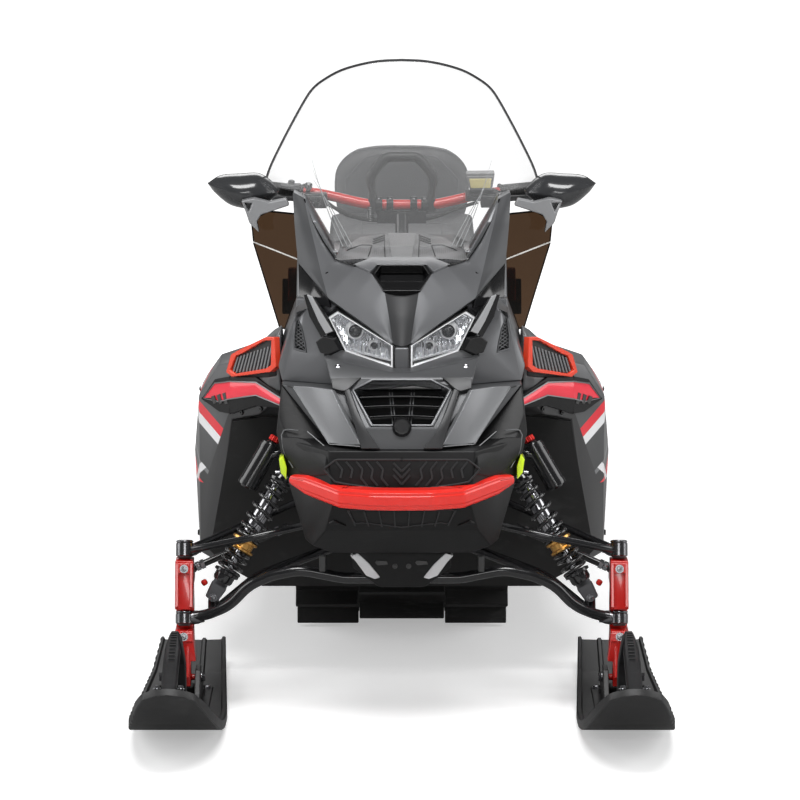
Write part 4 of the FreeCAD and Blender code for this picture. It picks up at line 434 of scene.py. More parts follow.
# ---------------------------------------------------------------- spindles
# Forged legs in gloss red paint, with a long recessed channel down the front between two
# ribs. Chromed nuts hold the ball joints, and the pivot bolt runs through the foot.
LEG_X, LEG_LEAN = 482, 40 / 144
AXIS = np.array([0, 40, 144]) / math.hypot(40, 144)
red_paint = finish("gloss red paint", (0.46, 0.010, 0.007), 0.24, grain=350, relief=0.012,
                   mottle=0.05, scuffs=0.06, coat_weight=0.6, coat_roughness=0.08)
nut_steel = finish("nut steel", (0.22, 0.22, 0.23), 0.24, grain=500, relief=0.01, mottle=0.15, metallic=1.0)


def twins(name, shells, surface, body="chassis", **details):
    """A new piece made of left-hand shells and their mirror images."""
    return make(name, both(*shells), surface, body, **details)


def flattened(source, target, angle, weld=0.0):
    """The target mesh, filled from the source with near points welded and flat faces joined."""
    skin = bmesh.new()
    skin.from_mesh(source)
    if weld:
        bmesh.ops.remove_doubles(skin, verts=skin.verts, dist=weld * MM)
    bmesh.ops.dissolve_limit(skin, angle_limit=angle, verts=skin.verts, edges=skin.edges)
    skin.to_mesh(target)
    skin.free()
    return target


def flat_copy(node_name, weld=0.02):
    """A CAD node's mesh with its triangles welded and its flat faces joined."""
    return flattened(frame["nodes"][node_name].data, bpy.data.meshes.new(node_name), 0.012, weld)


def pierced(mesh, shells):
    """The mesh less the solid made of the shells."""
    work = bpy.data.objects.new("work", mesh)
    tool = bpy.data.objects.new("tool", shell_mesh("tool", shells))
    for obj in (work, tool):
        bpy.context.scene.collection.objects.link(obj)
    cut = work.modifiers.new("cut", "BOOLEAN")
    cut.object, cut.operation, cut.solver, cut.use_self = tool, "DIFFERENCE", "EXACT", True
    bpy.context.view_layer.update()
    result = bpy.data.meshes.new_from_object(work.evaluated_get(bpy.context.evaluated_depsgraph_get()))
    for obj in (work, tool):
        bpy.data.objects.remove(obj)
    return flattened(result, result, 0.01)


def from_node(name, node_name, surface, slot, round_off=0.0, weld=0.02, cutters=()):
    """A piece on a CAD node's own shape, with recesses cut and edges rounded."""
    mesh = flat_copy(node_name, weld)
    if cutters:
        mesh = pierced(mesh, cutters)
    return piece(name, mesh, surface, frame["nodes"][node_name]["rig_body"], slot=slot,
                 round_off=round_off, replaces=[node_name])


def leg_rib(x, low, high, ahead, proud):
    """A raised rib down the front of the leg, ahead of the steering axis, between two heights."""
    y0, y1 = (-1065 + (height - 217) * LEG_LEAN + ahead for height in (low, high))
    return slab([(y0 - proud, low + 3), (y1 - proud, high - 3), (y1 + 3, high), (y0 + 3, low)], x, 0)


ribs = [leg_rib((LEG_X + left, LEG_X + right), low, high, -23, proud) for left, right, low, high, proud in (
    (-19.5, -12, 243, 342, 4), (12, 19.5, 243, 342, 4), (-13, 13, 316, 342, 4.5), (-19.5, 19.5, 170, 193, 2.5))]
ribs += [leg_rib((SKI_CENTRE + left, SKI_CENTRE + right), 92, 166, -17, 5)
         for left, right in ((-17, -11), (9, 15))]
leg_nuts = []
for height, ahead in ((328, -27.5), (183, -25.5)):
    spot = (LEG_X, -1065 + (height - 217) * LEG_LEAN + ahead, height)
    leg_nuts += hexagon_bolt(spot, (0, -0.96, 0.27), 6.5, 10, 1.45)
for side in (1, -1):
    leg_nuts += hexagon_bolt((SKI_CENTRE + side * 42.5, *SKI_BOLT), (side, 0, 0), 9.5, 9, 1.3)
for side_name, sign in SIDES:
    body = f"{side_name}_leg"
    leg = from_node(f"spindle_{side_name}_forging", f"spindle_{side_name}", red_paint, "red_paint", 2.2, 0.3)
    spots = np.empty(len(leg.data.vertices) * 3)
    leg.data.vertices.foreach_get("co", spots)
    spots = spots.reshape(-1, 3)
    middle = sign * LEG_X * MM
    spots[:, 0] = middle + (spots[:, 0] - middle) * np.where(spots[:, 2] > 0.15, 0.74, 1.0)
    leg.data.vertices.foreach_set("co", spots.ravel())
    make(f"spindle_{side_name}_ribs", sided(ribs, sign), red_paint, body, slot="red_paint", round_off=1.6)
    make(f"spindle_{side_name}_nuts", sided(leg_nuts, sign), nut_steel, body)

# ---------------------------------------------------------------- tie rods
# Black steel rods between the steering arms and the steering gear. A nut locks the threaded
# ball joint at each end, and the outer ball sits on the leg's steering arm.
black_paint = finish("gloss black paint", (0.010, 0.010, 0.011), 0.22, grain=400, relief=0.012,
                     mottle=0.06, scuffs=0.12, coat_weight=0.5, coat_roughness=0.08)
rod_eye, rod_inner = np.array([470, -935, 300.0]), np.array([255, -915, 392.0])
rod_run = unit(rod_inner - rod_eye)
rod_nuts = [turned(rod_eye + rod_run * gap, rod_run, [(0, 9), (0, 11), (9, 11), (9, 9)], 6)
            for gap in (20, 205)]
rod_nuts.append(turned(rod_eye, rod_run, [(8, 8.5), (9, 10.5), (18, 10.5), (19, 8.5)], 20))
for side_name, sign in SIDES:
    from_node(f"tie_rod_{side_name}_bar", f"tie_rod_{side_name}", black_paint, "black_paint")
    make(f"tie_rod_{side_name}_nuts", sided(rod_nuts, sign), bright_steel, f"{side_name}_tie_rod")

# ---------------------------------------------------------------- suspension arms
# Bent steel tubes in gloss black. Each ends in a chromed ball-joint barrel with a grey
# bellows, and bolts to the frame with rubber-bushed eyes.
for level in ("upper", "lower"):
    piece(f"{level}_arm_tubes", flat_copy(f"{level}_arms"), black_paint, "chassis", slot="black_paint",
          crease=40, replaces=[f"{level}_arms"])
bellows_rubber = finish("bellows rubber", (0.07, 0.07, 0.072), 0.6, relief=0.05)
UPPER_BALL, LOWER_BALL = (LEG_X, -1025, 361.0), (LEG_X, -1065, 217.0)
barrels, bellows = [], []
for ball, top in ((UPPER_BALL, 24), (LOWER_BALL, 17)):
    barrels.append(turned(ball, AXIS, [
        (-13, 0), (-13, 16), (-11, 19.5), (top - 8, 19.5), (top - 6, 17.5), (top - 4, 19), (top - 2, 19),
        (top, 15), (top, 0)], 36))
    bellows.append(turned(ball, AXIS, [(-17.2, 0), (-17.2, 12), (-16, 14), (-15, 12.5), (-14, 16),
                                       (-12.6, 16), (-12.6, 0)], 28))
barrels += [
    turned(LOWER_BALL, (-1, 0.1, 0.05), [(14, 0), (14, 16), (30, 15), (38, 12.6), (44, 12.6), (44, 0)]),
    turned(UPPER_BALL, (-1, 0.2, 0.08), [(14, 0), (14, 15), (24, 13), (32, 9), (36, 9), (36, 0)])]
twins("ball_joint_barrels", barrels, nut_steel)
twins("ball_joint_bellows", bellows, bellows_rubber)

# ---------------------------------------------------------------- dampers and springs
# Coil-over dampers: a short and a long black coil either side of a gold-anodised divider, a
# polished damper body, a dark cast clevis and a red rebound knob at the foot.
DAMPER_FOOT, DAMPER_HEAD = np.array([418, -1040, 264.0]), np.array([259, -980, 528.0])
damper_run = unit(DAMPER_HEAD - DAMPER_FOOT)
spring_steel = finish("black spring steel", (0.012, 0.012, 0.013), 0.2, grain=300, relief=0.01,
                      mottle=0.05, coat_weight=0.8, coat_roughness=0.05)
damper_steel = finish("polished damper", (0.42, 0.42, 0.44), 0.16, grain=250, relief=0.008,
                      mottle=0.08, metallic=1.0)
gold = finish("gold anodising", (0.72, 0.40, 0.12), 0.28, grain=700, relief=0.01, mottle=0.06,
              metallic=0.9)
clevis_grey = finish("cast clevis", (0.075, 0.075, 0.08), 0.42, grain=900, relief=0.08, metallic=0.4)
red_anodised = finish("red anodising", (0.62, 0.02, 0.015), 0.3, relief=0.02, mottle=0.05, metallic=0.5)


def coil(start, end, turns, radius, wire_radius):
    """A spring wire: a helix about the damper whose radius follows the given shares of its length.

    Its ends close down to a flat turn, as a ground spring does.
    """
    share = np.linspace(0, 1, int(turns * 26))
    spread = share - 0.25 * np.sin(2 * np.pi * share) / (2 * np.pi)
    angle = share[:, None] * turns * 2 * np.pi
    side = unit(np.cross(damper_run, (0, 1, 0)))
    line = (DAMPER_FOOT + damper_run * (start + (end - start) * spread)[:, None]
            + np.interp(share, *radius)[:, None] * (np.cos(angle) * side
                                                    + np.sin(angle) * np.cross(damper_run, side)))
    return wire(line, wire_radius, 12, up=damper_run)


def on_damper(profile, sides=36, capped=False):
    """A part turned about the damper, with heights from its foot."""
    return turned(DAMPER_FOOT, damper_run, profile, sides, capped)


twins("damper_coils", [coil(64, 112, 3.2, ([0, 1], [26, 26]), 4.3),
                       coil(146, 288, 6.6, ([0, 0.6, 1], [26, 26, 20]), 4.5)], spring_steel,
      slot="spring_steel", replaces=["front_springs"])
twins("damper_bodies", [
    on_damper([(150, 0), (150, 15), (154, 17.5), (262, 17.5), (266, 15), (300, 15), (300, 0)], 40, True),
    on_damper([(30, 0), (30, 8), (152, 8), (152, 0)], 28, True),
    turned(DAMPER_HEAD, (-1, 0, 0), [(-22, 0), (-22, 7), (58, 7), (58, 0)], 20),
    turned(DAMPER_FOOT - (0, 26, 0), (0, 1, 0), [(0, 0), (0, 6), (52, 6), (52, 0)], 20)],
      damper_steel, slot="damper_steel", replaces=["front_shocks"])
twins("damper_dividers", [on_damper([(114, 18), (114, 25), (117, 30), (121, 30), (123, 24), (135, 24),
                                     (137, 30), (142, 30), (144, 25), (144, 18), (114, 18)], 44)], gold)
twins("damper_seats", [
    on_damper([(34, 12), (34, 20), (40, 23), (52, 23), (54, 29), (60, 29), (62, 22), (62, 12), (34, 12)]),
    on_damper([(288, 14), (288, 25), (291, 27), (296, 27), (298, 20), (306, 17), (306, 14), (288, 14)])],
      spring_steel)
cheek_plate = [(-14, -12), (14, -12), (18, 24), (9, 40), (-9, 40), (-18, 24)]
clevis = [slab(cheek_plate, (-15, -9), 0), slab(cheek_plate, (9, 15), 0), box((-15, 15), (-16, 16), (22, 38))]
fore = unit(np.array([0, 1, 0]) - damper_run * damper_run[1])
clevis_axes = np.stack([fore, np.cross(fore, damper_run), damper_run])
clevis = [(points @ clevis_axes + DAMPER_FOOT, quads, ends) for points, quads, ends in clevis]
twins("damper_clevises", clevis, clevis_grey, round_off=2.5)
twins("damper_eyes", [turned(DAMPER_HEAD - (0, 15, 0), (0, 1, 0), [
    (0, 0), (0, 12), (2, 14), (28, 14), (30, 12), (30, 0)], 28)], clevis_grey)
twins("damper_bolts", hexagon_bolt(DAMPER_FOOT - (0, 25, 0), (0, -1, 0), 7, 7)
      + hexagon_bolt(DAMPER_HEAD - (0, 15, 0), (0, -1, 0), 6.5, 6), bright_steel)
twins("rebound_knobs", [turned(DAMPER_FOOT + (17, -8, 26), (0.5, -0.2, 0.84), [
    (0, 0), (0, 6), (2, 7), (9, 7), (11, 5.5), (11, 0)], 10)], red_anodised, round_off=0.5)

# ---------------------------------------------------------------- damper reservoirs
# Black aluminium cans carried beside the dampers, with turned rings and end caps. A knurled
# red adjuster is screwed into the top of each.
from_node("reservoir_cans", "shock_reservoirs", black_paint, "black_paint")
CAN_HIGH, CAN_LOW = np.array([290.6, -947.5, 586.0]), np.array([345.3, -968.0, 495.2])
twins("reservoir_rings", [
    turned(CAN_LOW, damper_run, [(3, 22), (3, 24.2), (12, 24.2), (12, 22), (3, 22)], 40, False),
    turned(CAN_HIGH, damper_run, [(-16, 22), (-16, 24.2), (-5, 24.2), (-5, 22), (-16, 22)], 40, False),
    turned(CAN_HIGH, damper_run, [(0, 0), (0, 14), (5, 12), (8, 8), (8, 0)]),
    turned(CAN_LOW, damper_run, [(-4, 0), (-4, 12), (0, 16), (0, 0)])], black_paint)
knurl = np.tile([12.5, 11.4], 16)[:, None] * circle(1, 32)
knob_line = CAN_HIGH + damper_run * np.array([8, 9.5, 19, 21])[:, None]
twins("reservoir_knobs", [carry(knob_line, knurl, up=(0, 1, 0),
                                grow=np.repeat([[0.9], [1], [1], [0.85]], 2, 1))], red_anodised, crease=25)

# ---------------------------------------------------------------- frame, skid plate and engine
# Cast and welded alloy front frame with two bright horns, a black plastic skid plate on two
# screws, and the engine block, which hardly shows.
frame_alloy = finish("cast frame alloy", (0.34, 0.34, 0.35), 0.4, grain=700, relief=0.1, mottle=0.2,
                     metallic=0.85)
matt_black = finish("matt black plastic", (0.009, 0.009, 0.0094), 0.46, grain=1500, relief=0.1,
                    scuffs=0.12, specular_ior_level=0.3)
engine_alloy = finish("engine alloy", (0.1, 0.1, 0.1), 0.5, relief=0.1, metallic=0.7)
cast_silver = finish("cast silver", (0.72, 0.72, 0.73), 0.34, grain=700, relief=0.05, metallic=0.35)
shadow_black = finish("unlit recess", (0.006, 0.006, 0.006), 0.6, relief=0.05)
from_node("front_frame_casting", "front_frame", frame_alloy, "frame_alloy", 2)
from_node("skid_plate_shield", "skid_plate", matt_black, "skid_plastic", 3)
from_node("engine_block", "engine", engine_alloy, "engine_alloy", 6)
# A black sheet behind the nose, where only shade shows between the parts: painted shade.
make("front_shade_sheet", [slab([(-400, 262), (-440, 300), (-385, 600), (-150, 640), (150, 640), (385, 600),
                              (440, 300), (400, 262), (320, 216), (-320, 216)], (-752, -746), 1)], shadow_black)
twins("frame_horns", [slab([(114, 372), (96, 378), (70, 353), (46, 322), (60, 318), (79, 326), (101, 357)],
                           (-1121, -1100), 1)], cast_silver, round_off=3)
skid_screws = []
for x in (-15, 15):
    skid_screws += hexagon_bolt((x, -1120, 348), (0, -1, 0), 4.5, 3)
for x in (-44, 44):
    skid_screws.append(slab([(x - 15, 356), (x - 9, 350), (x + 14, 352), (x + 11, 360), (x - 11, 361)],
                            (-1122, -1118), 1))
make("skid_screws", skid_screws, engine_alloy, round_off=0.8)
twins("arm_brackets", [box((168, 182), (-1100, -1084), (330, 366))], engine_alloy, round_off=2.5)

# ---------------------------------------------------------------- tunnel and running boards
# Folded aluminium tunnel with rows of rivets, and footboards with raised traction teeth
# round holes, shown as black discs of painted shade. Everything else here is coated dark grey.
tunnel_paint = finish("tunnel coating", (0.035, 0.035, 0.037), 0.42, grain=900, relief=0.04,
                      mottle=0.15, scuffs=0.3, metallic=0.5)
from_node("tunnel_top_sheet", "tunnel_top", tunnel_paint, "tunnel_paint", 1)
from_node("tunnel_side_sheets", "tunnel_sides", tunnel_paint, "tunnel_paint", 1)
from_node("footboards", "running_boards", tunnel_paint, "tunnel_paint", 2)


def scattered(shell, places):
    """Copies of one small shell at many places, as one shell."""
    points, quads, ends = shell
    places = np.asarray(places, float)
    step = np.arange(len(places)) * len(points)
    every = (points[None] + places[:, None]).reshape(-1, 3)
    faces = (quads[None] + step[:, None, None]).reshape(-1, 4)
    return every, faces, [end + start for start in step for end in ends]


rivet = turned((0, 0, 0), (1, 0, 0), [(0, 6), (1.6, 5.2), (2.6, 3), (2.9, 0)], 8)
rivet_rows = [[272, y, z] for z in (546, 345) for y in np.arange(-640, 1240, 62)]
twins("tunnel_rivets", [scattered(rivet, rivet_rows)], tunnel_paint, crease=50)
twins("tunnel_stiffeners", [slab([(y, 372), (y + 150, 372), (y + 175, 520), (y + 25, 520)], (271.5, 275), 0)
                            for y in (-380, -60, 260, 580, 900)], tunnel_paint, round_off=1.5)
tooth_ring = turned((0, 0, 0), (0, 0, 1), [(0, 13), (4.5, 11), (4.5, 8.5), (0.4, 8)], 8, capped=False)
teeth = [[x + 14 * (row % 2), y, 342] for x in (296, 330, 364, 396)
         for row, y in enumerate(np.arange(-380, 1130, 34)) if x + 14 * (row % 2) < 408]
twins("footboard_teeth", [scattered(tooth_ring, teeth)], tunnel_paint, crease=50)
# Each hole is a thin black disc: painted shade.
well = turned((0, 0, 0), (0, 0, 1), [(0, 0), (0.3, 0), (0.3, 8.2), (0, 8.2)], 8)
twins("footboard_hole_shade", [scattered(well, teeth)], shadow_black)

# ---------------------------------------------------------------- hood
# One dark metallic grey plastic moulding: a faceted bonnet with a six-sided black intake, a centre
# valley painted darker as shade, and two pillars that rise to the windshield. Black seams part it from the
# lamps.
def body_paint(name, colour, rough, **shader):
    """A fine-grained metallic body finish."""
    return finish(name, colour, rough, grain=2600, relief=0.015, mottle=0.1, scuffs=0.02, **shader)


hood_grey = body_paint("hood metallic grey", (0.150, 0.153, 0.160), 0.36, metallic=0.5, coat_weight=0.25,
                       coat_roughness=0.22)
shaded_grey = body_paint("body shaded grey", (0.075, 0.0765, 0.080), 0.4, metallic=0.4)
# A lighter copy of the body paint: painted light.
lit_facet_grey = body_paint("nose facet painted light grey", (0.21, 0.214, 0.222), 0.34, metallic=0.5, coat_weight=0.3,
                        coat_roughness=0.2)
# A darker copy of the body paint: painted shade on the hood's valley and the nose's ribs, and lighter lines of
# painted highlight on black parts.
shade_and_highlight_grey = body_paint("painted shade and highlight grey", (0.035, 0.0355, 0.037), 0.42, metallic=0.3)
# Pale grey for thin lines and wires along edges, standing for the light they catch: painted highlight.
highlight_grey = finish("painted highlight grey", (0.21, 0.214, 0.22), 0.34, grain=2600, relief=0.015, mottle=0.08,
                   scuffs=0.02, metallic=0.5, coat_weight=0.3, coat_roughness=0.2)
gloss_black = finish("gloss black moulding", (0.006, 0.006, 0.0065), 0.13, grain=300, relief=0.008,
                     mottle=0.05, scuffs=0.05, coat_weight=0.25, coat_roughness=0.05)


def facet(first, second, third):
    """The plane through three corners: y at (x, z) follows from normal . (point - first) = 0.

    The returned function lays an (x, z) outline on the plane, lifted off it along the normal,
    which points to the front.
    """
    first, second, third = (np.array(corner, float) for corner in (first, second, third))
    normal = np.cross(second - first, third - first)
    normal /= np.linalg.norm(normal) * (-1 if normal[1] > 0 else 1)

    def lay(outline, lift=0.0):
        x, z = np.asarray(outline, float).T
        y = first[1] - (normal[0] * (x - first[0]) + normal[2] * (z - first[2])) / normal[1]
        return np.column_stack([x, y, z]) + normal * lift
    return lay


def drawn_in(outline, width):
    """An outline with each corner moved towards its middle by a width."""
    outline = np.asarray(outline, float)
    middle = outline.mean(0)
    out = outline - middle
    return middle + out * (1 - width / np.linalg.norm(out, axis=1, keepdims=True).clip(1))


def spread_out(outline, middle, share):
    """An outline enlarged about a middle point by a share, one for both axes or one for each."""
    return (np.asarray(outline, float) - middle) * share + middle


def plate(lay, outline, low, high, taper=0.0):
    """A raised panel on a facet: its outline at one lift, and drawn in by the taper at the other."""
    return prism(lay(outline, low), lay(drawn_in(outline, taper), high))


def frame_on(lay, outline, width, low, high):
    """A flat frame round an outline on a facet: the outline drawn in to its middle by the width."""
    inner = drawn_in(outline, width)
    rings = [lay(outline, low), lay(outline, high), lay(inner, high), lay(inner, low), lay(outline, low)]
    return grid(np.stack(rings), ring=True, capped=False)


def resampled(outline, count, closed=False):
    """Evenly spread points along an open line, or round a closed one."""
    outline = np.asarray(outline, float)
    if closed:
        outline = np.concatenate([outline, outline[:1]])
    reach = np.concatenate([[0], np.cumsum(np.linalg.norm(np.diff(outline, axis=0), axis=1))])
    spots = np.linspace(0, reach[-1], count, endpoint=not closed)
    return np.column_stack([np.interp(spots, reach, column) for column in outline.T])


def mirrored(half):
    """A closed outline from its right half, given from bottom to top."""
    half = np.asarray(half, float)
    return np.concatenate([half, half[::-1] * (-1, 1)])


def through(points, steps=8, smooth=True):
    """A line through every point: smooth (Catmull-Rom cubics between neighbours) or straight."""
    points = np.asarray(points, float)
    long = np.concatenate([2 * points[:1] - points[1:2], points, 2 * points[-1:] - points[-2:-1]])
    share = np.linspace(0, 1, steps, endpoint=False)[None, :, None]
    before, first, second, after = (long[k:len(points) - 1 + k, None] for k in range(4))
    if not smooth:
        before, after = 2 * first - second, 2 * second - first
    line = 0.5 * (2 * first + (second - before) * share
                  + (2 * before - 5 * first + 4 * second - after) * share ** 2
                  + (3 * first - before - 3 * second + after) * share ** 3)
    return np.concatenate([line.reshape(-1, points.shape[1]), points[-1:]])


def skin(first, second, bulge=0.0, thick=5.0, rows=12, smooth=True):
    """A closed panel between two edges of equally many points, smooth or straight along them.

    Across it point = first * (1 - share) + second * share + bulge * sin(pi * share) * outward,
    and the back lies at a thickness behind. Outward looks to the front.
    """
    first, second = through(first, smooth=smooth), through(second, smooth=smooth)
    share = np.linspace(0, 1, rows)[None, :, None]
    table = first[:, None] * (1 - share) + second[:, None] * share
    outward = np.cross(np.gradient(first + second, axis=0), second - first)
    length = np.linalg.norm(outward, axis=1, keepdims=True)
    outward = np.where(length > 1, outward / length.clip(1), (outward / length.clip(1)).mean(0))
    outward = outward * np.where(outward[:, 1:2] > 0, -1, 1)
    table = table + outward[:, None] * bulge * np.sin(np.pi * share)
    return grid(np.concatenate([table, table[:, ::-1] - outward[:, None] * thick], 1), ring=True)


from_node("hood_shell", "hood", hood_grey, "body_grey", 3, 2.5,
          [box((-300, 300), (-1100, -700), (905, 1200))])
flank_inner = [(223, -660, 1101), (206, -701, 1057), (178, -760, 1016), (149, -826, 984), (104, -893, 979),
               (63, -929, 966), (39, -966, 940), (29, -1022, 890), (20, -1083, 838)]
flank_outer = [(223, -660, 1101), (209, -727, 1052), (194, -796, 1006), (180, -866, 960), (164, -938, 916),
               (122, -981, 893), (84, -1020, 873), (52, -1053, 855), (22, -1085, 838)]
pillar_outer = [(249, -643, 1112), (244, -700, 1052), (238, -756, 1003), (233, -790, 972), (164, -938, 916)]
twins("hood_flanks", [skin(flank_inner, flank_outer, 4, 9, 14, False)], hood_grey, slot="body_grey", crease=28)
twins("hood_pillar_faces", [skin(pillar_outer, flank_outer[:5], 2, 9, 10, False)], shaded_grey,
      slot="body_grey", crease=28)
twins("hood_side_faces", [skin([(233, -792, 970), (200, -864, 944), (164, -937, 914)],
                               [(230, -850, 905), (200, -892, 899), (160, -940, 893)], 0, 6, smooth=False)],
      gloss_black, round_off=1)
twins("hood_side_walls", [slab([(-696, 900), (-696, 1064), (-756, 1001), (-790, 969), (-852, 904),
                                (-860, 900)], (228, 236), 0)], shaded_grey, round_off=2)
# The valley takes the darker copy of the body paint: painted shade.
valley_edge = np.array([(39, -965, 939), (30, -1018, 890), (20, -1082, 837)])
make("hood_valley", [skin(valley_edge, valley_edge * (-1, 1, 1), -8, 8, 25, False)], shade_and_highlight_grey,
     slot="body_grey", crease=50)
scoop = facet((49, -905, 977), (-49, -905, 977), (39, -966, 940))
intake = mirrored([(37, 938), (61, 964), (49, 979)])
make("intake_floor", [plate(scoop, intake * (0.99, 1), -26, -20)], gloss_black, round_off=3)
make("intake_lip", [plate(scoop, mirrored([(32, 942), (42, 950)]), -18, -9, 1)], gloss_black, round_off=2)
make("intake_rim", [frame_on(scoop, spread_out(intake, (0, 958), (1.1, 1.16)), 7, -28, 3.5)], gloss_black,
     round_off=1.5)
make("intake_brow", [skin([(108, -889, 984), (66, -848, 994), (-66, -848, 994), (-108, -889, 984)],
                          [(70, -926, 974), (56, -900, 985), (-56, -900, 985), (-70, -926, 974)],
                          1, 10, smooth=False)], hood_grey, round_off=1.5)
make("hood_rear_deck", [prism([[-172, -876, 960], [172, -876, 960], [200, -700, 960], [-200, -700, 960]],
                              [[-140, -850, 981], [140, -850, 981], [150, -700, 984], [-150, -700, 984]])],
     gloss_black, round_off=3)
twins("hood_edge_seams", [wire(through([
    (222, -663, 1100), (205, -704, 1056), (177, -763, 1016), (148, -829, 985), (104, -895, 981)],
    smooth=False), 2.0, up=(0, -0.6, 0.8))], gloss_black)

# ---------------------------------------------------------------- headlights
# Each lamp has a chromed ribbed bowl with two projector lenses, a light strip under a chromed
# divider, and an outline behind a clear cover, both white with a painted glow. A black surround holds it in the
# nose.
# Only half metallic: the rest is plain white lit by the lamps, standing for chrome's bright reflections:
# painted reflection.
chrome = finish("lamp chrome with painted reflection", (0.94, 0.95, 0.97), 0.16, grain=200, relief=0.02, mottle=0.1,
                scuffs=0.0, metallic=0.5)
# White with a faint glow, standing for the light the strip and outline catch: painted light.
painted_glow_white = finish("light guide with painted glow", (0.85, 0.86, 0.88), 0.18, relief=0.01, mottle=0.03, scuffs=0,
                    coat_weight=0.5, emission_color=(1, 1, 1, 1), emission_strength=0.3)
bowl_chrome = finish("lamp bowl chrome", (0.92, 0.93, 0.95), 0.14, grain=200, relief=0.02, mottle=0.1,
                     scuffs=0.0, metallic=0.92)
lens_dark = finish("projector lens", (0.03, 0.032, 0.036), 0.05, relief=0.005, coat_weight=1.0)
LAMP_OUT = np.array([(142, 887), (162, 871), (125, 802), (20, 785), (20, 833)], float)


def lamp_face(outline, depth=0.0):
    """(x, z) spots on the lamp face, which sweeps back from the nose as x grows, set back by a depth."""
    x, z = np.moveaxis(np.asarray(outline, float), -1, 0)
    return np.stack([x, -1087 + (x - 20) * 1.049 + depth, z], -1)


def lamp_bowl(outline, centre, deep, ribs):
    """A closed dish: rings drawn from the outline to a centre, deepest there, with upright ribs.

    Depth = deep * (1 - share squared) plus a ripple along x that fades to the rim. The back lies
    3 mm behind the front.
    """
    rim = resampled(outline, 120, closed=True)
    share = np.linspace(0.08, 1, 26)[:, None]
    table = np.asarray(centre, float) + (rim[None] - centre) * share[..., None]
    depth = 6 + deep * (1 - share ** 2)
    depth = depth + ribs * np.abs(np.sin(table[..., 0] * 0.42)) * (1 - share ** 4)
    points = lamp_face(table, depth)
    return grid(np.concatenate([points, points[::-1] + (0, 3, 0)]), ring=True)


def lamp_slab(outline, near, far):
    """A plate on the lamp face between two depths."""
    return prism(lamp_face(outline, near), lamp_face(outline, far))


twins("lamp_bowls", [lamp_bowl([(141, 885), (159, 871), (124, 808), (24, 800), (24, 831)], (104, 846), 30, 8)],
      bowl_chrome, crease=60, replaces=["headlights"], slot="lamp_glass")
aim = (-0.1, -1, 0)
main_at, low_at = lamp_face([(104, 849), (62, 822)], [30, 30])
twins("lamp_lens_rings", [
    turned(main_at, aim, [(0, 12), (0, 22), (10, 21), (17, 17.5), (17, 15), (4, 14), (0, 12)], 40, False),
    turned(low_at, aim, [(0, 6), (0, 13), (9, 12), (12, 10.5), (12, 9), (0, 6)], 32, False)], chrome)
twins("lamp_lenses", [
    turned(main_at - (0, 4, 0), aim, [(0, 0), (0, 15), (9, 14), (14, 10), (17, 5), (18, 0)], 40),
    turned(low_at, aim, [(0, 0), (0, 9), (6, 8), (9, 4), (10, 0)], 28)], lens_dark)
twins("lamp_reflector_bars", [
    lamp_slab([(x, 803), (x + 4.5, 803), (x + 3, 818 + 5 * (k % 2)), (x + 1, 818)], 8, 22)
    for k, x in enumerate(range(34, 122, 10))], chrome, round_off=1)
twins("lamp_dividers", [lamp_slab([(24, 797.5), (124, 805), (124, 808), (24, 801)], 1, 18)], chrome,
      round_off=0.8)
twins("lamp_light_strips", [lamp_slab([(27, 787), (118, 799.5), (119, 801.5), (27, 790)], 3, 14)],
      painted_glow_white, round_off=0.8)
twins("lamp_strip_backs", [lamp_slab([(122, 803), (121, 799), (24, 786.5), (24, 797)], 15, 24)], gloss_black)
twins("lamp_bright_outlines", [frame_on(lamp_face, LAMP_OUT, 3.8, 16, -0.5)], painted_glow_white, round_off=0.7)
twins("lamp_black_surrounds", [frame_on(lamp_face, spread_out(LAMP_OUT, (90, 838), (1.09, 1.14)), 7, 60, 4)],
      gloss_black, round_off=1)
clear_cover, tree, shell = blank("clear lamp cover", base_color=(0.9, 0.91, 0.92, 1))
tree.links.new(ranged(tree, noise(tree, 60.0, 3.0), 0, 1, 0.02, 0.08), shell.inputs["Roughness"])
edge_on = node(tree, "ShaderNodeLayerWeight", [("Blend", 0.25)])
tree.links.new(maths(tree, "MULTIPLY_ADD", edge_on.outputs["Facing"], 0.12, 0.015), shell.inputs["Alpha"])
twins("lamp_covers", [lamp_slab(LAMP_OUT, 0.5, 2.2)], clear_cover)
make("lamp_centre_bar", [box((-15, 15), (-1092, -1060), (783, 829))], hood_grey, round_off=3)

# ---------------------------------------------------------------- nose cheeks
# Grey plastic cheeks that close the nose outboard of the lamps. Each has a pale raised strip
# along the lamp, a black inner corner, and a tall three-cornered mesh vent.
cheek = facet((237, -1030, 885), (205, -1053, 916), (147, -1095, 748))
mesh_hole = [(209, 812), (236, 816), (238, 846), (230, 890), (219, 864), (212, 832)]
pale_trim_highlight = finish("pale trim with painted highlight", (0.30, 0.303, 0.31), 0.3, grain=2000, relief=0.01, mottle=0.08,
                     coat_weight=0.3)
from_node("nose_cheeks", "nose_vents", hood_grey, "body_grey", 3, 2.5, both(plate(cheek, mesh_hole, 8, -12)))
# A black plate behind the mesh: painted shade.
twins("cheek_vent_shade", [plate(cheek, mesh_hole, -10, -13)], shadow_black)
# The mesh wires are pale grey: painted highlight.
wires = []
for level in range(822, 884, 8):
    for rise in (12, -12):
        line = cheek([(207, level - rise), (241, level + rise)], -5)
        wires.append(wire(np.linspace(line[0], line[-1], 3), 0.9, 6))
twins("cheek_vent_mesh", wires, highlight_grey)
twins("cheek_vent_rims", [frame_on(cheek, mesh_hole, 2.5, -2, 1.2)], hood_grey, round_off=0.5)
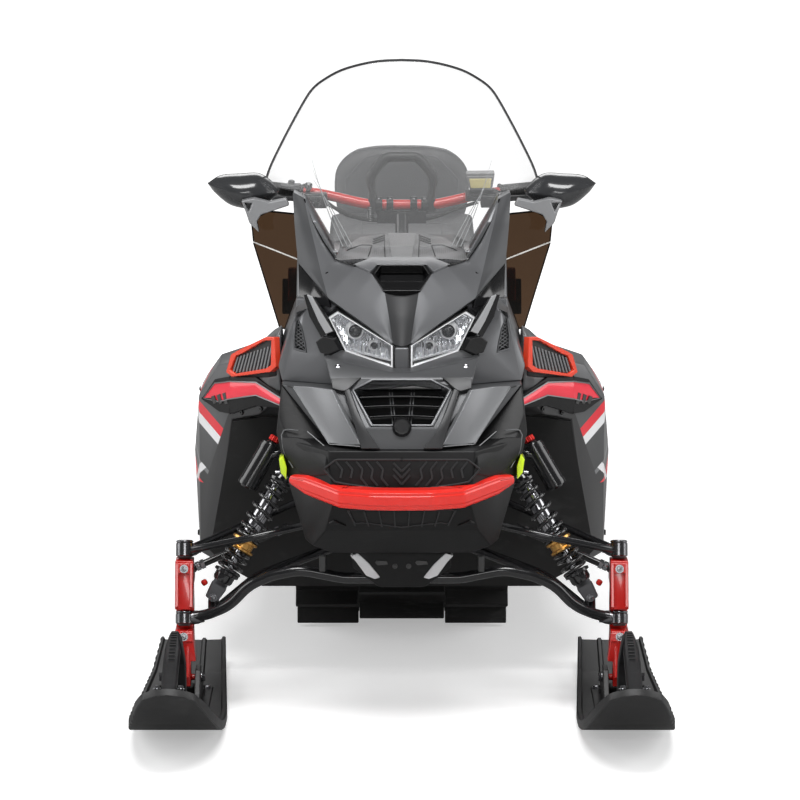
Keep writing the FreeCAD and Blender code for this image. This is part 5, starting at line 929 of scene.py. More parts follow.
# The strip is pale trim made brighter than its side-facing plane would be lit: partly its own colour, partly
# painted highlight.
twins("cheek_strips", [plate(cheek, [(206, 941), (195, 938), (173, 903), (149, 866), (164, 859), (180, 884)],
                             -1, 3.5, 0.8)], pale_trim_highlight, round_off=0.8)
outer_band = [(214, 940), (206, 941), (180, 884), (164, 859), (175, 850), (201, 893)]
inner_band = [(195, 938), (184, 926), (160, 890), (144, 864), (149, 866), (173, 903)]
twins("cheek_bands", [plate(cheek, outer_band, -1, 1.5), plate(cheek, inner_band, -3, 1)], gloss_black,
      round_off=0.5)
twins("cheek_corners", [plate(cheek, [(190, 840), (172, 856), (144, 853), (130, 828), (157, 811), (179, 814)],
                              -4, 4, 4)], gloss_black, round_off=1)

# ---------------------------------------------------------------- nose panel and grille
# The grey plastic upper nose between the lamps and the black lower nose, with a deep louvred
# intake, a plain round boss below it, and stepped facets each side. Two chromed screws hold it.
nose_face = facet((156, -1160, 775), (-156, -1160, 775), (93, -1225, 675))
nose_top = facet((-20, -1146, 785), (20, -1146, 785), (156, -1160, 775))
nose_side = facet((264, -1055, 742), (155, -1183, 740), (155, -1183, 632))
grille = mirrored([(64, 682), (104, 750), (64, 770)])
from_node("nose_panel_shell", "nose_panel", shaded_grey, "body_grey", 3, 2.5,
          [prism(nose_face(grille, 15), nose_face(grille * (0.9, 1), -34))])
# A black back deep in the intake: painted shade.
make("grille_back_shade", [prism(nose_face(grille * (0.92, 0.998), -33), nose_face(grille * (0.9, 0.998), -30))],
     shadow_black)
make("grille_rim", [frame_on(nose_face, spread_out(grille, (0, 724), (1.045, 1.05)), 5.5, -4, 3)],
     hood_grey, round_off=1.5)
# A pale line along the grille's rim: painted highlight.
half_rim = resampled([(66 * 1.02, 680), (105 * 1.02, 751), (66 * 1.02, 771)], 30)
twins("grille_edge_line", [wire(nose_face(half_rim, 3.2), 0.8, 6)], highlight_grey)
make("grille_top_bar", [plate(nose_face, mirrored([(88, 754), (62, 768)]), -14, -2, 2)], gloss_black,
     round_off=2)
louvres = []
for level, reach in ((744, 92), (726, 82), (706, 71)):
    span = np.linspace(-reach, reach, 25)
    line = nose_face(np.column_stack([span, level - 2.5 * (span / reach) ** 2]), -11)
    louvres.append(carry(line, [(-11, -1.8), (7, -3.4), (9, -1), (9, 1.2), (-11, 1)]))
posts = [wire(nose_face(np.linspace((low, 684), (high, 752), 8), -16), 1.3, up=(1, 0, 0))
         for low, high in ((-19, -27), (-13, -21), (13, 21), (19, 27))]
make("grille_louvres", louvres, gloss_black, round_off=0.8)
# The posts are pale grey: painted highlight.
make("grille_posts", posts, highlight_grey)
make("nose_boss", [turned(nose_face([(0, 678)], 1)[0], (0, -0.84, 0.54), [
    (-14, 0), (-14, 21), (3, 21), (6, 19.5), (7, 17), (5.2, 16), (5.2, 0)], 48)], gloss_black)
make("nose_screws", [turned(nose_top([(x, 795)])[0], (0, -0.57, 0.82), [
    (0, 0), (0, 6.5), (2.4, 5.6), (3.4, 3), (3, 1.6), (1.6, 1.4), (1.6, 0)], 20) for x in (-139, 139)],
     bright_steel)
# The outer facets take the lighter copy of the body grey: painted light.
twins("nose_outer_facets", [skin([(238, -1090, 745), (196, -1144, 752), (152, -1188, 754)],
                                 [(158, -1199, 639), (124, -1226, 640), (89, -1249, 645)], 3, 12)],
      lit_facet_grey, slot="body_grey", round_off=1.5)
# Ribs and shoulders take the darker copy of the body paint: painted shade.
twins("nose_ribs", [skin([(125, -1188, 750), (103, -1228, 690), (87, -1252, 637)],
                         [(112, -1184, 757), (80, -1234, 684), (46, -1252, 637)], 1.5, 9)],
      shade_and_highlight_grey, slot="body_grey", round_off=1.5)
twins("nose_shoulders", [skin([(152, -1168, 776), (120, -1166, 777), (88, -1162, 777)],
                              [(150, -1184, 757), (126, -1188, 752), (112, -1184, 758)], 1, 7)],
      shade_and_highlight_grey, round_off=1)
# Pale lines along the nose's edges: painted highlights.
twins("nose_edge_lines", [wire(np.linspace(start, end, 12), 1.1, 6, up=(0, 0, 1)) for start, end in (
    ((237, -1093, 742), (157, -1201, 637)), ((156, -1202, 637), (90, -1252, 642)),
    ((205, -1150, 655), (162, -1200, 628)))], highlight_grey)
twins("nose_seams", [wire(nose_side([(160, 733), (250, 741)], 0.2), 1.4, up=(0, 0, 1)),
                     wire(nose_face([(155, 738), (96, 677)], 0.2), 1.2, up=(0, 0, 1))], shadow_black)

# ---------------------------------------------------------------- lower nose
# Black plastic moulding under the grey nose, with sharp cheeks, fine pale lines of painted highlight
# along its edges, and a ribbed step pad in front.
from_node("lower_nose_shell", "lower_nose", matt_black, "body_black", 4, 2)
chin = facet((-150, -1262, 545), (150, -1262, 545), (155, -1255, 590))
pad_lines = []
for reach in (36, 58, 80, 102, 124):
    line = [(reach + 18, 609), (reach + 4, 592), (reach + 8, 574), (reach - 6, 557)]
    pad_lines.append(resampled([(x, z) for x, z in line if z > 553 + 0.05 * x], 16))
pad_lines += [np.linspace((18, top), (0, low), 8) for top, low in ((606, 588), (594, 574), (580, 560))]
# The ribs and rim are lighter grey lines on the black pad: painted highlights.
twins("step_pad_ribs", [carry(chin(line, 0.5), [(-2.4, -1), (2.4, -1), (1.6, 2), (-1.6, 2)], up=(0, -1, 0))
                        for line in pad_lines], shade_and_highlight_grey, crease=30)
pad_rim = [(0, 613), (66, 613), (142, 613), (168, 593), (144, 566), (120, 561), (60, 553), (0, 549)]
twins("step_pad_frame", [wire(chin(resampled(pad_rim, 60), 1), 2.2)], shade_and_highlight_grey)
# Pale lines along the chin's edges: painted highlights.
twins("chin_edge_lines", [wire(through(line), 1.2, 6) for line in (
    [(263, -1112, 640), (254, -1115, 652), (226, -1122, 652)],
    [(263, -1112, 640), (257, -1120, 604), (237, -1148, 574)])], highlight_grey)
twins("chin_cheeks", [skin([(262, -1116, 636), (215, -1160, 640), (162, -1246, 620)],
                           [(250, -1132, 588), (205, -1190, 566), (158, -1258, 582)], 5, 10)],
      matt_black, slot="body_black", round_off=2)

# ---------------------------------------------------------------- front bumper
# A broad bow of gloss red plastic across the nose, with rounded edges and a long hollow along
# its face. Its ends rise and narrow.
bumper_red = finish("bumper red", (0.74, 0.022, 0.014), 0.24, grain=500, relief=0.01, mottle=0.05,
                    scuffs=0.08, coat_weight=0.4, coat_roughness=0.1)
corners = np.array([(243, -1165), (134, -1288), (66, -1313), (0, -1317)], float)
half_bow = [corners[:1]]
for before, corner, after in zip(corners, corners[1:], corners[2:]):
    half_bow.append(corner + 12 * np.array([unit(before - corner), (0, 0), unit(after - corner)]))
half_bow = np.concatenate(half_bow + [corners[3:]])
plan = np.concatenate([half_bow * (-1, 1), half_bow[-2::-1]])
bow = flow(layer(plan, 535.5 + 16 * np.clip((np.abs(plan[:, 0]) - 134) / 109, 0, 1)), 6)
bow_edge = [(-2, -21.3), (1.5, -17), (1.5, -11), (3.2, -9), (3.2, 9), (1.5, 11), (1.5, 17), (-8, 21.3),
            (-40, 21.3), (-40, -21.3)]
narrow = 1 - 0.58 * np.clip((np.abs(bow[:, 0]) - 205) / 40, 0, 1) ** 1.5
make("front_bumper_bow", [carry(bow, bow_edge, grow=np.column_stack([np.ones_like(narrow), narrow]))],
     bumper_red, slot="bumper_red", round_off=1.2, replaces=["front_bumper"])

# ---------------------------------------------------------------- front reflectors
# Small yellow-green plastic reflectors with a prismatic grain, each moulded in one piece and
# set behind the bumper's ends.
reflector_yellow = finish("reflector yellow", (0.62, 0.85, 0.02), 0.25, grain=260, relief=0.35,
                          mottle=0.08, scuffs=0.0, coat_weight=0.7, coat_roughness=0.05)
from_node("front_reflector_lenses", "front_reflectors", reflector_yellow, "reflector_yellow", 1.5)

# ---------------------------------------------------------------- belly pan
# Matt black plastic tray below the bumper, moulded in one piece with a row of slots and
# corner ribs, and fixed under the lower nose.
belly = facet((-166, -1220, 450), (166, -1220, 450), (140, -1255, 545))
from_node("belly_pan_tray", "belly_pan", matt_black, "belly_plastic", 3, 2)
bars = []
for spot in np.linspace(-96, 96, 8):
    line = np.linspace((spot * 1.2, 499), (spot * 1.05, 463 - 4 * (1 - abs(spot) / 96)), 5)
    bars.append(carry(belly(line, 0.6), [(-1.4, -1), (1.4, -1), (1.4, 3.4), (-1.4, 3.4)], up=(0, -1, 0)))
slot_rim = resampled([(0, 500), (118, 500), (101, 467), (86, 470), (0, 459)], 40)
# The bars and rim take the lighter grey of painted highlights on the black tray.
make("belly_slot_bars", bars + both(wire(belly(slot_rim, 0.6), 1.8, 6)), shade_and_highlight_grey, crease=30)
# Black floors in the slots: painted shade.
make("belly_slot_shade", [plate(belly, mirrored([(0, 462), (98, 469), (114, 497)])[1:-1], -0.4, 0.3)],
     shadow_black)
twins("belly_ribs", [plate(belly, [(118, 462), (160, 468), (148, 478)], -1, 4, 3)], matt_black, round_off=1.5)

# ---------------------------------------------------------------- side panels
# Satin grey plastic side panels with plain diagonal bands in white and red over a black lower
# part. Each has a black wing at the front with a red flash, and black screws at its edges.
panel_paint, tree, shell = blank("side panel paint", coat_weight=0.4, coat_roughness=0.15)
spot = node(tree, "ShaderNodeSeparateXYZ", [(0, node(tree, "ShaderNodeTexCoord").outputs["Object"])]).outputs
out_x = maths(tree, "ABSOLUTE", spot[0])


def beyond(reach_x, reach_y, reach_z, level):
    """A crisp mask: 1 where reach_x*|x| + reach_y*y + reach_z*z passes the level, in metres."""
    total = maths(tree, "MULTIPLY", out_x, reach_x)
    total = maths(tree, "MULTIPLY_ADD", spot[1], reach_y, total)
    total = maths(tree, "MULTIPLY_ADD", spot[2], reach_z, total)
    return ranged(tree, total, level - 0.0006, level + 0.0006)


def without(first, second):
    """Where the first mask holds and the second doesn't."""
    return maths(tree, "MULTIPLY", first, maths(tree, "SUBTRACT", 1.0, second))


white, red, black = (0.74, 0.74, 0.75), (0.70, 0.015, 0.03), (0.020, 0.020, 0.021)
rise = [beyond(0, -0.55, 1.0, level) for level in (0.735, 0.768, 0.800, 0.812, 0.900, 0.925, 0.952)]
fall = [beyond(0, 0.75, 1.0, level) for level in (0.000, 0.022, 0.034, 0.105)]
flank = maths(tree, "MAXIMUM", beyond(1.0, 0.0, 0.335, 0.6017), beyond(0.0, 0.0, 1.0, 0.690))
# The grey base runs darker from 0.8 m down to 0.45 m: painted shade.
colour = mixed(tree, ranged(tree, spot[2], 0.45, 0.8), (0.030, 0.031, 0.032), (0.13, 0.133, 0.138))
for mask, tint in (
        (without(rise[4], rise[5]), white), (without(rise[5], rise[6]), red),
        (maths(tree, "SUBTRACT", 1.0, rise[3]), black), (without(rise[2], rise[3]), (0.16, 0.163, 0.168)),
        (without(rise[0], rise[1]), red), (without(without(fall[0], fall[1]), rise[3]), white),
        (without(without(fall[2], fall[3]), rise[0]), red),
        (maths(tree, "MAXIMUM", ranged(tree, spot[2], 0.4305, 0.4295),
               maths(tree, "SUBTRACT", 1.0, flank)), black)):
    colour = mixed(tree, mask, colour, tint)
detail = detailed(tree, shell, colour, (0.2, 0.2, 0.2), 0.32, 2600.0, 0.08, 0.05)
tree.links.new(detail["Colour"], shell.inputs["Base Color"])
bumped(tree, shell, detail["Height"], 0.02)
from_node("side_panel_shells", "side_panels", panel_paint, "panel_grey", 3, 2.5)

wing_front = facet((390, -720, 600), (390, -720, 694), (300, -825, 717))
flash_red = finish("flash red", (0.80, 0.018, 0.045), 0.3, relief=0.01, mottle=0.08, coat_weight=0.5)
twins("wing_shells", [skin([(462, -626, 632), (430, -668, 684), (392, -722, 700)],
                           [(462, -630, 630), (420, -690, 612), (392, -728, 614)], 2, 10, smooth=False),
                      skin([(392, -722, 700), (330, -800, 712), (262, -872, 676)],
                           [(392, -728, 614), (330, -800, 646), (262, -876, 654)], 3, 10, smooth=False)],
      matt_black, slot="panel_grey", round_off=1.5)
flash_rear = [(458, -636, 634), (430, -676, 676), (392, -729, 690)]
flash_rear_low = [(456, -637, 632), (420, -690, 636), (392, -733, 650)]
flash_nose = [(392, -729, 690), (330, -807, 702), (268, -876, 676)]
flash_nose_low = [(392, -733, 650), (330, -806, 672), (272, -878, 662)]
twins("wing_flash_colours", [skin(flash_rear, flash_rear_low, 1, 3, smooth=False),
                             skin(flash_nose, flash_nose_low, 2, 3, smooth=False)], flash_red, round_off=0.5)
flash_edge = (flash_nose[::-1] + flash_rear[1::-1] + flash_rear_low[1:] + flash_nose_low[1:]
              + flash_nose[-1:])
# A pale line round the flash: painted highlight.
twins("wing_pale_edges", [wire(np.add(flash_edge, (0, -1.5, 0)), 1.7, 6, up=(0.3, -1, 0.2))], highlight_grey)
bars = []
for out in (12, 26, 40):
    x, y = 392 + out, -722 + out * 1.3
    bars.append(skin([(x, y - 12, 668 - out * 0.5), (x - 6, y - 16, 640 - out * 0.2)],
                     [(x + 7, y - 4, 664 - out * 0.5), (x + 1, y - 8, 636 - out * 0.2)], 0, 3))
twins("wing_dark_bars", bars, engine_alloy, round_off=0.4)
screws = [turned(wing_front([spot], 1)[0], (0.76, -0.65, 0),
                 [(0, 0), (0, 6), (2.6, 5), (2.6, 2.2), (1.2, 2), (1.2, 0)], 20)
          for spot in ((364, 622), (318, 640))]
screws += [turned((474, y, z), (1, 0, 0), [(0, 0), (0, 7), (tall, 6), (4, 2.4), (2.4, 2.2), (2.4, 0)], 20)
           for y, z, tall in ((-560, 300, 4), (-480, 470, 4), (-440, 620, 2))]
twins("panel_screws", screws, gloss_black)
twins("panel_inner_ribs", [prism([[272, -742, 598], [300, -742, 598], [300, -690, 330], [272, -690, 330]],
                                 [[272, -736, 598], [300, -736, 598], [300, -684, 330], [272, -684, 330]])],
      matt_black, round_off=2)

# ---------------------------------------------------------------- side panel vents
# Plastic boxes let into the front of the side panels: slanted grey slats behind a thick
# orange-red frame.
vent_red = finish("vent frame red", (0.72, 0.05, 0.018), 0.24, grain=500, relief=0.01, mottle=0.05,
                  coat_weight=0.4, coat_roughness=0.1)
vent_floor = finish("vent floor", (0.02, 0.02, 0.02), 0.6)
slat_grey = finish("vent slats", (0.16, 0.16, 0.165), 0.4, metallic=0.3)
from_node("vent_boxes", "side_vents", vent_floor, "vent_red", 1.5, 2)
vent_face = facet((276, -852, 738), (390, -722, 705), (274, -846, 812))
vent_edge = [(273, 746), (286, 732), (378, 702), (392, 710), (380, 752), (366, 763), (296, 809), (276, 812)]
twins("vent_frames", [frame_on(vent_face, vent_edge, 12.5, -3, 13)], vent_red, slot="vent_red", round_off=2)
twins("vent_backs", [plate(vent_face, spread_out(vent_edge, (330, 755), 0.96), 4.7, 5.6)], vent_floor)
twins("vent_slats", [plate(vent_face, [
    (286 + out, 738 - out * 0.3), (290 + out, 737 - out * 0.3), (278 + out, 796 - out * 0.52),
    (274 + out, 797 - out * 0.52)], 5.6, 9) for out in range(10, 92, 8)], slat_grey, round_off=0.6)

# ---------------------------------------------------------------- console
# Moulded dash behind the hood: a domed cover pierced with small holes, painted on as black
# dots of shade over a dip in the bump, a plain raised spine, three slanted slots each side, and a
# saddle that runs back under the seat's nose.
dash_plastic = finish("console plastic", (0.024, 0.024, 0.025), 0.5, grain=1500, relief=0.1, scuffs=0.1)
from_node("console_body", "console", dash_plastic, "console_plastic", 4, 2)
pierced_cover, tree, shell = blank("pierced dash cover")
place = node(tree, "ShaderNodeMapping", [("Vector", node(tree, "ShaderNodeTexCoord").outputs["Object"]),
                                         ("Rotation", (0, 0, math.radians(45)))])
# The holes are black dots: painted shade.
dots = node(tree, "ShaderNodeTexVoronoi", [("Vector", place.outputs[0]), ("Scale", 150.0),
                                           ("Randomness", 0.0)])
hole_shade_mask = ranged(tree, dots.outputs["Distance"], 0.36, 0.28)
detail = detailed(tree, shell, (0.085, 0.086, 0.09, 1), (0.2, 0.2, 0.2), 0.4, 1500.0, 0.1, 0.1)
tree.links.new(mixed(tree, hole_shade_mask, detail["Colour"], (0.008, 0.008, 0.008)), shell.inputs["Base Color"])
depth = maths(tree, "MULTIPLY_ADD", hole_shade_mask, -1.0, maths(tree, "MULTIPLY", detail["Height"], 0.1))
bumped(tree, shell, depth, 0.6)


def dash_dome(share, back, lift=0.0):
    """A point of the dash cover, from a share across (-1 to 1) and back (0 front to 1 rear).

    The rear edge in plan is half an oval, with fullness = sqrt(1 - |share|^2.6). Height = 981
    + 17 * back * fullness^0.7 + 8 * fullness, so that the lid is crowned both ways.
    """
    fullness = np.sqrt(np.clip(1 - np.abs(share) ** 2.6, 0, 1))
    y = -838 + (110 + 166 * fullness) * back
    z = 981 + 17 * back * fullness ** 0.7 + 8 * fullness
    return np.stack([share * (151 - 6 * back), y, z + lift], -1)


def skirted(sheet, drop):
    """A sheet with a skirt hung from its edge."""
    rim = np.concatenate([sheet[0], sheet[1:, -1], sheet[-1, -2::-1], sheet[-2:0:-1, 0]])
    return [grid(sheet), grid(np.stack([rim, rim - (0, 0, drop)]), ring=True, capped=False)]


across, back = np.meshgrid(np.sin(np.linspace(-1, 1, 71) * np.pi / 2), np.linspace(0, 1, 30))
make("dash_cover", skirted(dash_dome(across, back), 14), pierced_cover, crease=40)
across, back = np.meshgrid(np.linspace(-0.2, 0.2, 16), np.linspace(0, 1, 24))
make("dash_spine", skirted(dash_dome(across * (0.75 + 0.35 * back), back, 2.2), 6),
     finish("dash spine", (0.10, 0.102, 0.105), 0.4, grain=2000, relief=0.03))
# The slots are black strips lying on the cover: painted shade.
twins("dash_slot_shade", [carry(dash_dome(*np.linspace((0.44, back - 0.1), (0.28, back + 0.03), 8).T, 0.5),
                           [(-2.6, -1), (2.6, -1), (2.6, 1), (-2.6, 1)]) for back in (0.72, 0.81, 0.90)],
      shadow_black)
twins("dash_seams", [wire(dash_dome(*np.linspace(start, end, 12).T, 0.3), 1.2, 6, up=(0, 0, 1))
                     for start, end in (((0.5, 0.1), (0.46, 0.55)), ((0.46, 0.55), (0.62, 0.62)),
                                        ((0.62, 0.62), (0.84, 0.5)), ((0.25, 0.05), (0.28, 0.98)))],
      shadow_black)

# ---------------------------------------------------------------- windshield
# Clear bent sheet with a dark rubber edge, raised clear stiffening lines low at each side
# and four screws into the hood pillars.
screen_clear, tree, shell = blank("clear windshield", base_color=(0.42, 0.425, 0.43, 1))
wave = noise(tree, 5.0, 4.0)
tree.links.new(ranged(tree, wave, 0, 1, 0.04, 0.12), shell.inputs["Roughness"])
edge_on = node(tree, "ShaderNodeLayerWeight", [("Blend", 0.35)])
alpha = maths(tree, "MULTIPLY_ADD", edge_on.outputs["Facing"], 0.30, 0.11)
tree.links.new(maths(tree, "MULTIPLY_ADD", wave, 0.03, alpha), shell.inputs["Alpha"])


def on_screen(outline, back=0.0):
    """(x, z) spots put on the windshield: a sheet bent to a 400 mm radius and leant back 18.8 degrees.

    sag = 400 - sqrt(400^2 - x^2). A spot at height z lies slope = (z - 1412 + sin * sag) / cos up
    the sheet from its top line, at y = -575 + cos * sag + sin * slope.
    """
    sine, cosine = 0.32227, 0.94665
    x, z = np.moveaxis(np.asarray(outline, float), -1, 0)
    sag = 400 - np.sqrt(400 ** 2 - x ** 2)
    slope = (z - 1412 + sine * sag) / cosine
    return np.stack([x, -575 + cosine * sag + sine * slope + back, z], -1)


screen_edge = through([(318, 1113), (305, 1154), (280, 1207), (252, 1261), (223, 1313), (204, 1340),
                       (180, 1360), (142, 1382), (97, 1397), (50, 1406), (0, 1408.6)], 6)
levels = np.concatenate([np.linspace(988, 1100, 10), np.linspace(1104, 1113, 3), np.linspace(1116, 1408, 50)])
half_width = np.where(levels >= 1113, np.interp(levels, screen_edge[:, 1], screen_edge[:, 0]),
                      np.interp(levels, [988, 1100, 1113], [150, 217, 250]))[:, None]
across = np.linspace(-1, 1, 61)
front = on_screen(np.stack([half_width * across, np.repeat(levels[:, None], 61, 1)], -1))
make("windshield_sheet", [grid(np.concatenate([front, front[:, ::-1] + (0, 4.2, -1.4)], 1), ring=True)],
     screen_clear, slot="screen_clear", crease=40, replaces=["windshield"])
edge_trim = finish("screen edge trim", (0.03, 0.03, 0.032), 0.35, relief=0.02)
line = np.concatenate([screen_edge[:-1] * (-1, 1), screen_edge[::-1]])
make("windshield_edge", [wire(on_screen(line, 2), 3.0, 10, up=(0, -1, 0.3))], edge_trim)
stiffeners = []
share = np.linspace(0, 1, 22)[:, None]
for number in range(3):
    low, knee, high = np.array([(134 - number * 11, 994), (176 - number * 8, 1075 + number * 3),
                                (206 - number * 2, 1180 - number * 22)], float)
    line = low * (1 - share) ** 2 + 2 * knee * share * (1 - share) + high * share ** 2
    stiffeners.append(wire(on_screen(line, 7.5), 1.1, up=(0, -1, 0.3), grow=np.repeat(1.25 - share, 2, 1)))
# The clear ribs are drawn in opaque pale grey, standing for the light along them: painted highlight.
twins("windshield_stiffeners", stiffeners, finish("clear rib painted highlight", (0.45, 0.46, 0.47), 0.15, relief=0.01))
twins("windshield_screws", [turned(on_screen([spot], -0.5)[0], (0.25, -0.92, 0.3), [
    (-1, 0), (-1, 6), (2, 5), (2.6, 2.4), (1.4, 2), (1.4, 0)], 20) for spot in ((172, 1006), (226, 1100))],
      gloss_black)

# ---------------------------------------------------------------- mirrors and brackets
# Mirror housings in dark gloss plastic with the glass at the rear. They are carried from the
# hood's pillars by silver-grey cast brackets, each with a three-cornered hollow.
mirror_housing = finish("mirror housing", (0.03, 0.031, 0.033), 0.2, grain=900, relief=0.015, mottle=0.08,
                        scuffs=0.05, coat_weight=0.5, coat_roughness=0.08)
mirror_edge = [(449, 1119), (419, 1137), (375, 1141), (327, 1141), (292, 1114), (285, 1096), (322, 1067),
               (350, 1060), (396, 1069), (431, 1096)]
mirror_rim = through(mirror_edge + mirror_edge[:1])[:-1]
# The housing is a dome: its size = sqrt(1 - rise^2.4) while y goes forward from the flat rear.
rise = np.sin(np.linspace(0, 0.97, 16) * np.pi / 2)
sizes = [0.2, 0.9, *np.sqrt(1 - rise ** 2.4)]
dome = [layer(spread_out(mirror_rim, (362, 1099), size), y, 1)
        for size, y in zip(sizes, [-516, -516, *(-520 - 66 * rise)])]
twins("mirror_shells", [grid(np.stack(dome), ring=True)], mirror_housing, slot="mirror_housing", crease=50,
      replaces=["mirrors"])
mirror_glass = finish("mirror glass", (0.8, 0.81, 0.82), 0.03, grain=80, relief=0.0, mottle=0.02, scuffs=0,
                      metallic=1.0)
twins("mirror_glasses", [slab(spread_out(mirror_rim, (362, 1099), 0.86), (-517.5, -515.2), 1)], mirror_glass)
bracket_silver = finish("bracket silver", (0.24, 0.243, 0.25), 0.34, relief=0.03, mottle=0.1, metallic=0.35)


def swept(outline, start, y, slope):
    """(x, z) spots on an upright face at y + slope * (x - start)."""
    x, z = np.asarray(outline, float).T
    return np.column_stack([x, y + slope * (x - start), z])


arm = [(256, 1086), (264, 1101), (304, 1090), (338, 1096), (369, 1088), (358, 1062), (350, 1038),
       (327, 1017), (332, 1042), (322, 1059), (288, 1073)]
hollow = [(361, 1083), (343, 1084), (351, 1064)]
arm_mesh, hollows = (both(prism(*(swept(outline, 236, y, 0.62) for y in faces)))
                     for outline, faces in ((arm, (-684, -654)), (hollow, (-693, -668))))
piece("mirror_arms", pierced(shell_mesh("arms", arm_mesh), hollows), bracket_silver, "chassis",
      slot="bracket_silver", round_off=3, replaces=["mirror_brackets"])

# ---------------------------------------------------------------- side wind deflectors
# Smoke-brown clear sheets between hood and mirror: an upper and a lower one with a pale line of
# painted highlight along their joint, a darker edge, and a red latch with a black strut behind the lower one.
smoke, tree, shell = blank("smoked sheet", transmission_weight=1.0, ior=1.3)
wave = noise(tree, 7.0, 4.0)
tree.links.new(mixed(tree, wave, (0.050, 0.0270, 0.0140), (0.066, 0.0370, 0.0200)), shell.inputs["Base Color"])
tree.links.new(ranged(tree, wave, 0, 1, 0.0, 0.05), shell.inputs["Roughness"])
from_node("upper_deflector_sheets", "upper_deflectors", smoke, "screen_smoke", 0, 0.05)
from_node("lower_deflector_sheets", "lower_deflectors", smoke, "screen_smoke", 0, 0.05)
polished = finish("painted joint highlight", (0.8, 0.79, 0.76), 0.12, grain=200, relief=0.01, mottle=0.05,
                  scuffs=0, metallic=0.3)
# A pale line along the sheets' joint: painted highlight.
joint = np.linspace((228, 957.5), (342, 989.5), 20)
twins("deflector_joints", [wire(swept(joint, 226, -666, 0.7377), 1.7)], polished)
twins("deflector_edges", [wire(swept(resampled(outline, 60), 226, -662.5, 0.7377), 2.0) for outline in (
    [(228, 1064), (307, 1064), (346, 1039), (341.5, 991)], [(341.5, 987), (281, 796), (228, 796)])], edge_trim)
twins("deflector_latches", [slab([(-585, 905), (-570, 925), (-540, 925), (-536, 900), (-560, 850),
                                  (-578, 852)], (238, 262), 0)],
      finish("latch red", (0.5, 0.04, 0.02), 0.3, relief=0.02), round_off=3)
twins("deflector_struts", [slab([(-575, 820), (-575, 850), (-545, 900), (-532, 892), (-540, 822)],
                                (236, 276), 0)], matt_black, round_off=3)

# ---------------------------------------------------------------- steering post and bearing
# A black painted steel tube that turns in a split bearing. The bearing's alloy block is
# bolted to the front frame.
from_node("steering_bearing_block", "steering_bearing", frame_alloy, "frame_alloy", 2)
from_node("steering_post_tube", "steering_post", black_paint, "black_paint")

# ---------------------------------------------------------------- handlebar
# Red painted steel bar held by two black clamps on a plastic-covered riser. It carries ribbed
# rubber grips, control housings with their levers, switches, hoses, a brake cylinder and a cup
# with a cream liquid.
bar_red = finish("handlebar red", (0.60, 0.022, 0.016), 0.24, grain=700, relief=0.015, mottle=0.06,
                 coat_weight=0.5, coat_roughness=0.08)
half_bar = np.array([(66, -345, 1045), (94, -344, 1048), (185, -336, 1069), (215, -331, 1072),
                     (353, -290.6, 1079.9)])
bar_line = flow(np.concatenate([half_bar[::-1] * (-1, 1, 1), half_bar]), 14)
make("handlebar_tube", [carry(bar_line, circle(12, 24))], bar_red, "handlebar", slot="bar_red")
make("handlebar_riser", [prism([[-46, -363, 1003], [46, -363, 1003], [46, -327, 1003], [-46, -327, 1003]],
                               [[-40, -361, 1034], [40, -361, 1034], [40, -329, 1034], [-40, -329, 1034]]),
                         box((-58, 58), (-356, -334), (1003, 1014))],
     dash_plastic, "handlebar", round_off=3, replaces=["handlebar"])
turns = np.linspace(0, 2 * np.pi, 12, False) + 0.26
ring = np.column_stack([-345 + 19 * np.cos(turns), 1046 + 19 * np.sin(turns)])
clamps, bolts = [], []
for x in (20, 46):
    clamps += [slab(ring, (x, x + 16), 0), box((x, x + 16), (-357, -333), (1026, 1040))]
    for y in (-358, -332):
        bolts += hexagon_bolt((x + 8, y, 1058), (0, 0, 1), 3.6, 4)
twins("handlebar_clamps", clamps, matt_black, "handlebar", round_off=1.5)
twins("handlebar_clamp_bolts", bolts, bright_steel, "handlebar")
make("riser_pad", [box((-24, 24), (-361, -358), (1012, 1030))], gloss_black, "handlebar", round_off=2)
grip_run = unit((155, 45, 9))
ribs = [(0, 13), (0, 19.5), (4, 19.5), (5, 17)]
for start in range(7, 120, 6):
    ribs += [(start, 15.6), (start + 1.2, 17), (start + 4.4, 17), (start + 5.2, 15.6)]
ribs += [(124, 17), (127, 18), (129.5, 16), (130, 13), (130.2, 0)]
twins("grip_sleeves", [turned((355, -290, 1080) - grip_run * 130, grip_run, ribs, 28)],
      finish("grip rubber", (0.014, 0.014, 0.014), 0.65, grain=1600, relief=0.1), "handlebar",
      slot="grip_rubber", crease=50, replaces=["grips"])
control_plastic = finish("control plastic", (0.016, 0.016, 0.017), 0.3, relief=0.06, coat_weight=0.2)
from_node("control_housings", "hand_controls", control_plastic, "control_plastic", 2, 1)
make("switch_pod", [box((-236, -176), (-378, -322), (1040, 1076)),
                    box((-288, -238), (-350, -322), (1082, 1094))], control_plastic, "handlebar", round_off=4)
buttons = [turned((x, -386, z), (0, -1, 0.1), [(-3, 0), (-3, r), (3, r), (4.5, r * 0.8), (4.8, 0)], 20)
           for x, z, r in ((-196, 1063, 6), (-209, 1052, 5), (-192, 1050, 4.5))]
stalks = [turned((-222, -350, 1070), (0.1, -0.2, 1), [
    (0, 0), (0, 6), (16, 5), (16, 9), (26, 9), (29, 6), (29, 0)], 20),
    turned((-262, -330, 1085), (0.1, -0.2, 1), [
        (-8, 0), (-8, 5), (6, 5), (8, 8), (15, 8), (17, 5), (17, 0)], 16)]
make("switch_buttons", buttons + stalks, gloss_black, "handlebar")
cup_grey = finish("fluid cup frame", (0.22, 0.22, 0.22), 0.35, relief=0.03, metallic=0.4)
fluid = finish("cup fluid", (0.72, 0.62, 0.26), 0.15, grain=100, relief=0.01, mottle=0.2, scuffs=0,
               coat_weight=1.0)
cup_low = [(160, -392, 1084), (212, -388, 1084), (212, -346, 1084), (160, -350, 1084)]
